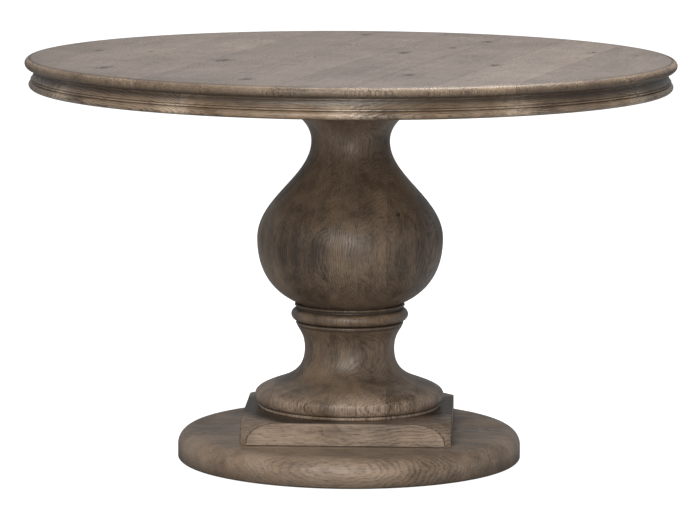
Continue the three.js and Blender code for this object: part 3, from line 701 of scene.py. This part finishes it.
class PEDESTAL_OT_top_boards(bpy.types.Operator):
    """Turns the boarded top with its half-round bead and saws it into boards"""
    bl_idname = "pedestal.top_boards"
    bl_label = "Top boards"

    def execute(self, context):
        sizes, colours = context.scene.pedestal_top, context.scene.pedestal_colours
        nodes = nodes_named("top_board")
        underside, level = (corner.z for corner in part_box(nodes[0]))
        inner = sizes.rim_radius - sizes.bead_reach
        half = (level - underside - 0.5 * MM) / 2
        outline = [(0, underside), (inner - 30 * MM, underside)]
        outline += arc((inner, underside + half), (sizes.bead_reach, half), -90, 86, 22)
        outline += [
            (inner, level - sizes.quirk_depth),
            (inner - sizes.quirk_width, level),
            (inner - 30 * MM, level),
            (0, level),
        ]
        blank = turned("top_blank", outline, 288, 0.15 * MM)
        across, along = level_axes(sizes.turn)
        # The flat top's grey is partly a grey wash and partly painted reflection of the pale room on
        # the upward faces; the bead keeps the edge's brown.
        material = oak(
            "grey_wash_and_painted_reflection_satin_oak", colours.top_dark, colours.top_light, colours.glaze_and_shade,
            ring=4 * MM, ring_depth=0.13, patches=1.0, roughness=0.5, relief=0.3, sheen=0.05,
            warm_share=0.1, streaks=0.4,
            knots=[(x * MM, y * MM, size * MM) for x, y, size in TOP_KNOTS],
            rim_colours=(colours.edge_dark, colours.edge_light),
        )
        boards = sawn_boards(blank, nodes, across, along, 1, sizes, level)
        for node, piece in zip(nodes, boards):
            # Glazing with painted shade in the quirk, and painted shade over the lower half of the
            # bead, which faces down away from the lights.
            pool_glazing_and_shade(piece, [(inner + 1 * MM, level - 0.6 * MM)], 3.8 * MM,
                       [(inner + 6 * MM, underside)], 14 * MM)
            # The bead takes the edge's brown; the grey of the flat, which the bead does not take, is
            # partly painted reflection.
            values = [float(c.co.xy.length > inner - 0.1 * MM) for c in piece.data.vertices]
            write_attribute(piece, "rim", "FLOAT", values)
            finish_piece(piece, material, node)
        return {"FINISHED"}


class PEDESTAL_OT_edge_segments(bpy.types.Operator):
    """Turns the moulded edge below the top and saws it into its segments"""
    bl_idname = "pedestal.edge_segments"
    bl_label = "Edge segments"

    def execute(self, context):
        sizes, colours = context.scene.pedestal_top, context.scene.pedestal_colours
        nodes = nodes_named("edge_segment")
        bottom, top = (corner.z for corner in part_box(nodes[0]))
        neck = sizes.rim_radius - sizes.edge_inset
        inside = neck - sizes.edge_width
        bead_top = bottom + sizes.lower_bead
        fillet_top = bead_top + 3 * MM
        cove_top = top - 5.2 * MM
        half = sizes.lower_bead / 2
        outline = [(inside, bottom), (neck - 3 * MM, bottom)]
        outline += arc((neck, bottom + half), (sizes.lower_reach, half), -90, 80, 18)
        outline += [
            (neck + sizes.fillet_reach - 2.5 * MM, bead_top + 0.2 * MM),
            (neck + sizes.fillet_reach, bead_top + 0.5 * MM),
            (neck + sizes.fillet_reach, fillet_top),
            (neck + sizes.cove_flare - 1.2 * MM, fillet_top + 0.6 * MM),
        ]
        flare = (neck + sizes.cove_flare, fillet_top + 1.6 * MM)
        outline += bezier(
            flare, (neck + 0.33 * sizes.cove_flare, flare[1] + 5 * MM),
            (neck, flare[1] + 7 * MM), (neck, cove_top), 12,
        )
        outline += [
            (neck - 0.6 * MM, cove_top + 0.6 * MM),
            (neck + 1.4 * MM, cove_top + 1.4 * MM),
            (neck + 1.4 * MM, top),
            (inside, top),
            (inside, bottom),
        ]
        # Glazing with painted shade in the moulding's fine grooves.
        grooves = [
            (neck + sizes.fillet_reach - 2 * MM, bead_top + 0.2 * MM),
            (neck + sizes.cove_flare - MM, fillet_top + MM),
            (neck - 0.3 * MM, cove_top + 0.7 * MM),
            (neck + MM, top),
        ]
        # Painted shadow in the cove under the upper bead, and painted shade on the lower bead's
        # underside.
        shade = [(neck, cove_top - 2 * MM), (neck + 2 * MM, bottom - 4 * MM)]
        blank = turned("edge_blank", outline, 288, 0.2 * MM)
        material = oak(
            "greyed_oak_dark_glaze", colours.edge_dark, colours.edge_light, colours.glaze_and_shade,
            ring=4 * MM, ring_depth=0.6, patches=1.9, roughness=0.42, relief=0.45, sheen=0.2,
            warm_share=0.45, rim_colours=(colours.edge_dark, colours.end_light), slant=-0.7,
            knot_size=0.004,
        )
        half_turn = math.pi / len(nodes)
        end_grain_turn = math.radians(6)
        for i, node in enumerate(nodes):
            middle = middle_angle(node)
            piece = copy_of(blank, "oak_" + node)
            bpy.ops.object.mode_set(mode="EDIT")
            for way in (-1, 1):
                outwards = level_axes(middle + way * half_turn)[1] * way
                saw(-outwards * sizes.joint, outwards)
            bpy.ops.object.mode_set(mode="OBJECT")
            across, along = level_axes(middle)
            lay_grain(piece, across, along, 20 + i)
            pool_glazing_and_shade(piece, grooves, 1.8 * MM, shade, 12 * MM)
            turns = [abs(across.xy.angle_signed(c.co.xy)) for c in piece.data.vertices]
            values = [max(0, 1 - (half_turn - turn) / end_grain_turn) for turn in turns]
            write_attribute(piece, "rim", "FLOAT", values)
            finish_piece(piece, material, node)
        bpy.data.objects.remove(blank)
        return {"FINISHED"}


class PEDESTAL_OT_underframe(bpy.types.Operator):
    """Eases the battens and the mounting plate that hold the top boards together"""
    bl_idname = "pedestal.underframe"
    bl_label = "Battens and mounting plate"

    def execute(self, context):
        across, along = level_axes(context.scene.pedestal_top.turn)
        material = oak(
            "planed_bare_oak", linear("#8d7454"), linear("#c4a67c"), linear("#5d4a33"),
            ring=4 * MM, ring_depth=0.4, patches=0.2, roughness=0.7, relief=0.3, sheen=0.0,
            knot_size=0.003,
        )
        for i, node in enumerate(nodes_named("top_batten") + ["mounting_plate"]):
            piece = from_cad(node, "oak_" + node, 1.2 * MM)
            lay_grain(piece, along, across, 40 + i)
            finish_piece(piece, material, node)
        return {"FINISHED"}


def column_material(context, name, rim_colours=None):
    """Dark stain under a thin satin lacquer, on all three turned pieces. It leaves soft grain and
    broad, low highlights."""
    colours = context.scene.pedestal_colours
    return oak(
        name, colours.column_dark, colours.column_light, colours.glaze_and_shade,
        ring=4.5 * MM, ring_depth=0.24, patches=1.9, roughness=0.45, relief=0.3, sheen=0.08,
        staves=context.scene.pedestal_column, knot_size=0.004, board_tone=0.45,
        rim_colours=rim_colours,
    )


def bored(outline, sizes, bottom, top):
    """Closes a turned outline round its bore. Each end is (level, radius, depth) of a spigot,
    which stands out by that depth, or a socket, which goes in by it."""
    (low, low_radius, low_depth), (high, high_radius, high_depth) = bottom, top
    start = (sizes.bore_radius, low + low_depth)
    first = [start, (low_radius, low + low_depth), (low_radius, low)]
    last = [(high_radius, high), (high_radius, high + high_depth),
            (sizes.bore_radius, high + high_depth), start]
    return first + outline + last


class PEDESTAL_OT_vase(bpy.types.Operator):
    """Turns the vase: bulb, neck, flare and abacus"""
    bl_idname = "pedestal.vase"
    bl_label = "Column vase"

    def execute(self, context):
        sizes = context.scene.pedestal_column
        low, high = (corner.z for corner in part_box("column_vase"))
        spigot = SPIGOT_LENGTH
        bottom, top = low + spigot, high - spigot
        edge = bottom + 2.7 * MM
        widest = edge + sizes.bulb_rise
        cap = top - sizes.abacus_height
        neck = cap - sizes.cap_height
        rise = neck - widest
        outline = [(sizes.groove_radius, bottom), (sizes.groove_radius, edge)]
        outline += bezier(
            (sizes.bulb_foot, edge),
            (sizes.bulb_foot + 0.36 * sizes.bulb_rise, edge + 0.16 * sizes.bulb_rise),
            (sizes.bulb_radius, widest - 0.53 * sizes.bulb_rise),
            (sizes.bulb_radius, widest), 30,
        )
        outline += bezier(
            (sizes.bulb_radius, widest), (sizes.bulb_radius, widest + 0.41 * rise),
            (sizes.neck_radius, neck - 0.37 * rise), (sizes.neck_radius, neck), 44,
        )[1:]
        outline += bezier(
            (sizes.neck_radius, neck), (sizes.neck_radius, neck + 0.55 * sizes.cap_height),
            (sizes.cap_radius - 0.35 * sizes.cap_height, cap - 0.21 * sizes.cap_height),
            (sizes.cap_radius, cap), 30,
        )[1:]
        outline += [(sizes.abacus_radius, cap), (sizes.abacus_radius, top)]
        ends = (bottom, sizes.spigot_radius, -spigot), (top, sizes.spigot_radius, spigot)
        piece = turned("turned_vase", bored(outline, sizes, *ends), 192, sizes.easing)
        # Glazing with painted shade in the crease at the bulb's lower edge and under the abacus's
        # overhang.
        pool_glazing_and_shade(piece, [(sizes.groove_radius, edge), (sizes.cap_radius, cap)], 5 * MM)
        finish_piece(piece, column_material(context, "dark_stained_oak_vase"), "column_vase")
        return {"FINISHED"}


class PEDESTAL_OT_collar(bpy.types.Operator):
    """Turns the collar: a ring between two grooves, under a fine lip"""
    bl_idname = "pedestal.collar"
    bl_label = "Column collar"

    def execute(self, context):
        sizes = context.scene.pedestal_column
        low, high = (corner.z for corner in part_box("column_collar"))
        ring_low, ring_high = low + 0.6 * MM, low + 24 * MM
        lip = high - 4.5 * MM
        middle = (sizes.groove_radius, (ring_low + ring_high) / 2)
        reach = (sizes.collar_radius - sizes.groove_radius, (ring_high - ring_low) / 2)
        outline = [(sizes.groove_radius, low)]
        outline += arc(middle, reach, -88, 88, 22)
        outline += [
            (sizes.groove_radius, ring_high + 0.4 * MM),
            (sizes.groove_radius, lip),
            (sizes.collar_lip - MM, lip),
        ]
        outline += arc((sizes.collar_lip - 2 * MM, (lip + high) / 2), (2 * MM, (high - lip) / 2),
                       -80, 80, 6)
        socket = sizes.spigot_radius + FIT_GAP
        depth = SPIGOT_LENGTH + 2 * FIT_GAP
        ends = (low, socket, depth), (high, socket, -depth)
        piece = turned("turned_collar", bored(outline, sizes, *ends), 160, 0.3 * MM)
        # Glazing with painted shade, spreading 12 mm out of the collar's three grooves.
        grooves = [(sizes.groove_radius, low), (sizes.groove_radius, (ring_high + lip) / 2),
                   (sizes.groove_radius, high)]
        pool_glazing_and_shade(piece, grooves, 12 * MM)
        finish_piece(piece, column_material(context, "dark_stained_oak_collar"), "column_collar")
        return {"FINISHED"}


class PEDESTAL_OT_column_foot(bpy.types.Operator):
    """Turns the foot: bead, scotia, bell, torus and ring"""
    bl_idname = "pedestal.column_foot"
    bl_label = "Column foot"

    def execute(self, context):
        sizes = context.scene.pedestal_column
        low, high = (corner.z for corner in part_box("column_foot"))
        spigot = SPIGOT_LENGTH
        bottom, top = low + spigot, high - spigot
        ring = bottom + 6 * MM
        torus = bottom + 24.6 * MM
        bell = bottom + 57.4 * MM
        scotia = bottom + 111 * MM
        bead = top - 7 * MM
        hollow, swell, rise = scotia - bell, bell - torus, bead - scotia
        slope = math.radians(26)
        out, down = math.cos(slope), math.sin(slope)
        inner = 167 * MM
        outline = arc((sizes.ring_radius - 2 * MM, (bottom + ring) / 2), (2 * MM, 3 * MM), -90, 80, 6)
        outline += [(inner, ring + 0.2 * MM), (inner, ring + 0.8 * MM)]
        outline += bezier(
            (inner + 2 * MM, ring + 0.9 * MM), (sizes.torus_radius - 3 * MM, ring + 1.5 * MM),
            (sizes.torus_radius, torus - 0.5 * (torus - ring)), (sizes.torus_radius, torus), 14,
        )
        outline += bezier(
            (sizes.torus_radius, torus), (sizes.torus_radius, torus + 0.45 * swell),
            (sizes.bell_radius + 0.87 * swell * out, bell - 0.87 * swell * down),
            (sizes.bell_radius, bell), 26,
        )[1:]
        outline += bezier(
            (sizes.bell_radius, bell),
            (sizes.bell_radius - 0.49 * hollow * out, bell + 0.49 * hollow * down),
            (sizes.scotia_radius, scotia - 0.48 * hollow), (sizes.scotia_radius, scotia), 20,
        )[1:]
        lip = sizes.bead_radius - 1.5 * MM
        outline += bezier(
            (sizes.scotia_radius, scotia), (sizes.scotia_radius, scotia + 0.6 * rise),
            (lip - 0.08 * rise, bead - 0.22 * rise), (lip, bead), 20,
        )[1:]
        outline += arc((lip - 2 * MM, (bead + top) / 2), (3.5 * MM, (top - bead) / 2), -60, 80, 8)
        ends = (bottom, sizes.spigot_radius, -spigot), (top, sizes.spigot_radius, spigot)
        piece = turned("turned_foot", bored(outline, sizes, *ends), 192, 0.3 * MM)
        # Glazing with painted shade in the ring's groove and round the top bead.
        pool_glazing_and_shade(piece, [(inner, ring + 0.6 * MM), (lip - 0.5 * MM, bead), (lip, top)], 4 * MM)
        # The foot below the bell fades into the lighter base colours: the torus's end-grain ticks and
        # wear, with a painted highlight over the torus.
        values = [max(0, min(1, (bell - c.co.z) / (20 * MM))) for c in piece.data.vertices]
        write_attribute(piece, "rim", "FLOAT", values)
        colours = context.scene.pedestal_colours
        wear_and_painted_highlight = (colours.base_dark, colours.base_light)
        material = column_material(context, "dark_stained_oak_foot", wear_and_painted_highlight)
        finish_piece(piece, material, "column_foot")
        return {"FINISHED"}


def base_material(context, name):
    """Grey wash over brown stain, nearly matt, on the plinth and the base. It leaves the grain
    plain to see."""
    colours = context.scene.pedestal_colours
    return oak(
        name, colours.base_dark, colours.base_light, colours.glaze_and_shade,
        ring=5 * MM, ring_depth=0.32, patches=1.8, roughness=0.5, relief=0.35, sheen=0.1,
        knot_size=0.005,
    )


def on_sawn_side(normal, centre, half):
    """True for a face with this normal and centre in one of the plinth's four upright sides."""
    ways = (abs(normal.x), abs(normal.y))
    return max(ways) > 0.999 and max(abs(centre.x), abs(centre.y)) > half - 0.05 * MM


class PEDESTAL_OT_plinth(bpy.types.Operator):
    """Turns the plinth's rounded edge, saws it square and parts it into boards"""
    bl_idname = "pedestal.plinth"
    bl_label = "Plinth boards"

    def execute(self, context):
        sizes, top_sizes = context.scene.pedestal_base, context.scene.pedestal_top
        nodes = nodes_named("plinth_board")
        bottom, top = (corner.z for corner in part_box(nodes[0]))
        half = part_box(nodes[1])[1].x
        centre = sizes.plinth_radius - sizes.plinth_rounding
        outline = [(0, bottom), (sizes.plinth_radius, bottom)]
        outline += arc((centre, top - sizes.plinth_rounding),
                       (sizes.plinth_rounding, sizes.plinth_rounding), 0, 90, 26)
        outline += [(centre - 4 * MM, top), (0, top)]
        blank = turned("plinth_blank", outline, 288, 0.3 * MM)
        bore = context.scene.pedestal_column.bore_radius
        spigot_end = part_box("column_foot")[0].z
        drill(blank, bore, bottom - MM, top + MM)
        drill(blank, sizes.socket_radius, spigot_end - FIT_GAP, top + MM)
        work_on(blank)
        bpy.ops.object.mode_set(mode="EDIT")
        for side in (RIGHTWARDS, -RIGHTWARDS, BACKWARDS, -BACKWARDS):
            saw(side * half, side)
        choose(blank, "FACE", lambda face: on_sawn_side(
            face.normal, face.calc_center_median(), half,
        ))
        bpy.ops.mesh.inset(thickness=1.6 * MM, depth=0)
        bpy.ops.object.mode_set(mode="OBJECT")
        material = base_material(context, "greyed_brown_oak_plinth")
        boards = sawn_boards(blank, nodes, BACKWARDS, RIGHTWARDS, 50, top_sizes, top)
        for node, piece in zip(nodes, boards):
            # A dark line along the arris, and painted shadow along the bottom edge where the plinth
            # stands on the base.
            self.dark_arris_and_painted_foot_shadow(piece, half)
            finish_piece(piece, material, node)
        return {"FINISHED"}

    def dark_arris_and_painted_foot_shadow(self, piece, half):
        """Marks a dark line along the arched arris where the turned edge meets the sawn sides, and
        painted shadow along the sides' bottom edge where the plinth stands on the base.
        """
        arris = set()
        for face in piece.data.polygons:
            if face.normal.z > 0.01 and not on_sawn_side(face.normal, face.center, half):
                arris.update(face.vertices)
        values = []
        bottom = min(corner.co.z for corner in piece.data.vertices)
        for corner in piece.data.vertices:
            on_side = max(abs(corner.co.x), abs(corner.co.y)) > half - 0.05 * MM
            on_line = corner.index in arris or corner.co.z < bottom + 0.05 * MM
            values.append(1.0 if on_side and on_line else 0.0)
        write_attribute(piece, "glaze_and_shade", "FLOAT", values)


class PEDESTAL_OT_base(bpy.types.Operator):
    """Turns the round base, cuts its pockets and parts it into boards"""
    bl_idname = "pedestal.base"
    bl_label = "Base boards"

    def execute(self, context):
        sizes, top_sizes = context.scene.pedestal_base, context.scene.pedestal_top
        nodes = nodes_named("base_board")
        bottom, top = (corner.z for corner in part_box(nodes[2]))
        centre = sizes.base_radius - sizes.base_rounding
        outline = [
            (0, bottom),
            (sizes.base_radius - 16 * MM, bottom),
            (sizes.base_radius - sizes.base_easing, bottom),
            (sizes.base_radius, bottom + sizes.base_easing),
        ]
        outline += arc((centre, top - sizes.base_rounding),
                       (sizes.base_rounding, sizes.base_rounding), 0, 90, 22)
        outline += [(centre - 4 * MM, top), (0, top)]
        blank = turned("base_blank", outline, 256, 0.8 * MM)
        feet = []
        for node in nodes_named("levelling_foot"):
            low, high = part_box(node)
            feet.append(((low.x + high.x) / 2, (low.y + high.y) / 2))
        start = bottom - MM
        washer_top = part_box("tie_rod_washer_bottom")[1].z
        stem_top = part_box("levelling_foot_1")[1].z
        insert_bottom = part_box("foot_insert_1")[0].z
        drill(blank, context.scene.pedestal_column.bore_radius, start, top + MM)
        drill(blank, sizes.recess_radius, start, washer_top + FIT_GAP)
        drill(blank, sizes.insert_radius, start, stem_top + 4 * MM, feet)
        drill(blank, sizes.pocket_radius, start, insert_bottom - FIT_GAP, feet)
        material = base_material(context, "greyed_brown_oak_base")
        boards = sawn_boards(blank, nodes, BACKWARDS, RIGHTWARDS, 60, top_sizes, top)
        for node, piece in zip(nodes, boards):
            # Painted shade along the base's lower edge, darkest where it meets the floor.
            pool_glazing_and_shade(piece, [(sizes.base_radius, bottom)], 12 * MM)
            finish_piece(piece, material, node)
        return {"FINISHED"}


class PEDESTAL_OT_screws(bpy.types.Operator):
    """Makes one countersunk wood screw of each length and copies it to its screw holes"""
    bl_idname = "pedestal.screws"
    bl_label = "Wood screws"

    def execute(self, context):
        material = metal("bright_zinc_screws", "#b9bbbd", 0.32, 0.1)
        for kind in ("batten_screw", "plate_screw"):
            nodes = nodes_named(kind)
            low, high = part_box(nodes[0])
            master = self.wood_screw(high.z - low.z)
            for node in nodes:
                piece = copy_of(master, "steel_" + node)
                stand_at(piece, node)
                finish_piece(piece, material, node)
            bpy.data.objects.remove(master)
        return {"FINISHED"}

    def wood_screw(self, tall):
        """One screw, head down on the origin, with a cross recess in its head."""
        shank, head, point = 2.75 * MM, 5.5 * MM, 8.25 * MM
        head_rim, head_depth, smooth = 0.4 * MM, 3.5 * MM, 12 * MM
        root, pitch = 0.72 * shank, 1.8 * MM
        slot_length, slot_width, slot_depth = 5.6 * MM, 1.1 * MM, 2 * MM
        outline = [(0, 0), (head, 0), (head, head_rim), (shank, head_depth)]
        for k in range(int((tall - point - smooth) / pitch)):
            thread = smooth + k * pitch
            outline += [(root, thread + 0.1 * pitch), (shank, thread + 0.5 * pitch)]
        outline += [(root, tall - point), (0, tall)]
        screw = turned("wood_screw", outline, 24, 0.12 * MM)
        for size in ((slot_length, slot_width), (slot_width, slot_length)):
            clear_selection()
            bpy.ops.mesh.primitive_cube_add(size=1, scale=(*size, 2 * slot_depth))
            cut_away(screw, name_piece("bit"))
        return screw


class PEDESTAL_OT_levelling_feet(bpy.types.Operator):
    """Turns one levelling foot, a dished nylon pad on a threaded stem, and copies it"""
    bl_idname = "pedestal.levelling_feet"
    bl_label = "Levelling feet"

    def execute(self, context):
        sizes = context.scene.pedestal_base
        material = nylon("moulded_black_nylon")
        nodes = nodes_named("levelling_foot")
        low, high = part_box(nodes[0])
        tall = high.z - low.z
        pad, stem = sizes.pad_radius, sizes.stem_radius
        heel, side, pad_top = 1.2 * MM, 4 * MM, 6 * MM
        pitch, thread_depth = 1.25 * MM, 0.6 * MM
        outline = [(0, 0), (pad - MM, 0)]
        outline += arc((pad - heel, heel), (heel, heel), -90, 0, 4)[1:]
        outline += [(pad, side)]
        outline += bezier((pad, side), (pad - MM, side + 1.2 * MM), (pad - 3 * MM, side + 1.6 * MM),
                          (stem + 2.5 * MM, pad_top), 6)[1:]
        outline += [(stem - 0.5 * MM, pad_top)]
        for k in range(int((tall - pad_top - 2 * MM) / pitch)):
            thread = pad_top + 0.5 * MM + k * pitch
            outline += [(stem, thread + 0.5 * pitch), (stem - thread_depth, thread + pitch)]
        outline += [(stem - MM, tall), (0, tall)]
        master = turned("levelling_foot_master", outline, 48, 0.1 * MM)
        for node in nodes:
            piece = copy_of(master, "nylon_" + node)
            stand_at(piece, node)
            finish_piece(piece, material, node)
        bpy.data.objects.remove(master)
        return {"FINISHED"}


class PEDESTAL_OT_fittings(bpy.types.Operator):
    """Gives the tie rod, its nuts and washers and the brass inserts their metals"""
    bl_idname = "pedestal.fittings"
    bl_label = "Tie rod and inserts"

    def execute(self, context):
        zinc = metal("bright_zinc_tie_rod", "#b4b6b8", 0.35, 0.1)
        brass = metal("machined_brass", "#b8954e", 0.3, 0.08)
        for node in frame["nodes"]:
            if node.startswith("tie_rod") or node.startswith("foot_insert"):
                piece = from_cad(node, "eased_" + node, 0.25 * MM)
                finish_piece(piece, brass if "insert" in node else zinc, node)
        return {"FINISHED"}


class PEDESTAL_OT_stage(bpy.types.Operator):
    """Lays a pale floor and sets soft studio lights and the camera"""
    bl_idname = "pedestal.stage"
    bl_label = "Studio stage"

    def execute(self, context):
        scene = context.scene
        clear_selection()
        bpy.ops.mesh.primitive_plane_add(size=120)
        floor = name_piece("studio_floor")
        floor.data.materials.append(lit_floor(list(scene.pedestal_colours.floor)))
        world = bpy.data.worlds.new("soft_white_room")
        world.use_nodes = True
        tree = world.node_tree
        tree.nodes.clear()
        seen = add(tree, "LightPath", {}, give="Is Camera Ray")
        strength = add(tree, "MapRange", {0: seen, 3: 0.42, 4: 1.2})
        sky = add(tree, "Background", {"Color": (0.95, 0.975, 1.0, 1.0), "Strength": strength})
        output = tree.nodes.new("ShaderNodeOutputWorld")
        tree.links.new(sky, output.inputs["Surface"])
        scene.world = world
        near_white, warm_white = (1.0, 0.98, 0.96), (1.0, 0.97, 0.93)
        for light in (
            ("overhead_softbox", (0.7, 0.2, 3.0), (0, 0, 0.7), (1.6, 1.6), 118, near_white),
            ("key_softbox", (-0.6, -4.0, 2.5), (0, 0, 0.2), (1.8, 2.0), 112, warm_white),
            ("front_softbox", (0.3, -4.5, 0.9), (0, 0, 0.45), (0.9, 1.2), 60, warm_white),
        ):
            self.softbox(*light)
        self.camera(scene)
        scene.view_settings.view_transform = "Standard"
        return {"FINISHED"}

    def softbox(self, name, place, aim, size, power, tint):
        """One rectangular soft light that faces a point."""
        bpy.ops.object.light_add(type="AREA", location=place)
        light = bpy.context.object
        light.name = name
        light.data.shape = "RECTANGLE"
        light.data.size, light.data.size_y = size
        light.data.energy = power
        light.data.color = tint
        light.rotation_euler = (Vector(aim) - Vector(place)).to_track_quat("-Z", "Y").to_euler()

    def camera(self, scene):
        """A long lens a little above the top, aimed at the table's axis."""
        turn, pitch, roll = math.radians(2.1), math.radians(7.944), math.radians(0.3)
        distance, height = 7.509, 1.424
        bpy.ops.object.camera_add(
            location=(distance * math.sin(turn), -distance * math.cos(turn), height),
        )
        camera = bpy.context.object
        camera.name = "long_lens_camera"
        camera.data.sensor_width = 36
        camera.data.lens = 206.9
        camera.data.clip_end = 200
        look = (
            Matrix.Rotation(turn, 3, "Z")
            @ Matrix.Rotation(math.radians(90) - pitch, 3, "X")
            @ Matrix.Rotation(roll, 3, "Z")
        )
        camera.rotation_euler = look.to_euler()
        scene.camera = camera


class PEDESTAL_PT_panel(bpy.types.Panel):
    """Lists the sizes, the colours and a button for each group of pieces"""
    bl_idname = "PEDESTAL_PT_panel"
    bl_label = "Pedestal Table"
    bl_space_type = "VIEW_3D"
    bl_region_type = "UI"
    bl_category = "Pedestal Table"

    def draw(self, context):
        for operator in OPERATORS:
            self.layout.operator(operator.bl_idname)
        for group in GROUPS:
            settings = getattr(context.scene, group)
            self.layout.label(text=settings.bl_rna.description)
            for name in settings.bl_rna.properties.keys():
                if name not in ("rna_type", "name"):
                    self.layout.prop(settings, name)


GROUPS = {
    "pedestal_top": PedestalTopSizes,
    "pedestal_column": PedestalColumnSizes,
    "pedestal_base": PedestalBaseSizes,
    "pedestal_colours": PedestalColours,
}
OPERATORS = (
    PEDESTAL_OT_stage, PEDESTAL_OT_top_boards, PEDESTAL_OT_edge_segments, PEDESTAL_OT_underframe,
    PEDESTAL_OT_vase, PEDESTAL_OT_collar, PEDESTAL_OT_column_foot, PEDESTAL_OT_plinth,
    PEDESTAL_OT_base, PEDESTAL_OT_screws, PEDESTAL_OT_levelling_feet, PEDESTAL_OT_fittings,
)


def register():
    for name, group in GROUPS.items():
        bpy.utils.register_class(group)
        setattr(bpy.types.Scene, name, bpy.props.PointerProperty(type=group))
    for operator in OPERATORS:
        bpy.utils.register_class(operator)
    bpy.utils.register_class(PEDESTAL_PT_panel)


def unregister():
    bpy.utils.unregister_class(PEDESTAL_PT_panel)
    for operator in reversed(OPERATORS):
        bpy.utils.unregister_class(operator)
    for name, group in reversed(GROUPS.items()):
        delattr(bpy.types.Scene, name)
        bpy.utils.unregister_class(group)


def main():
    register()
    for operator in OPERATORS:
        section, action = operator.bl_idname.split(".")
        getattr(getattr(bpy.ops, section), action)()


if __name__ == "__main__":
    main()
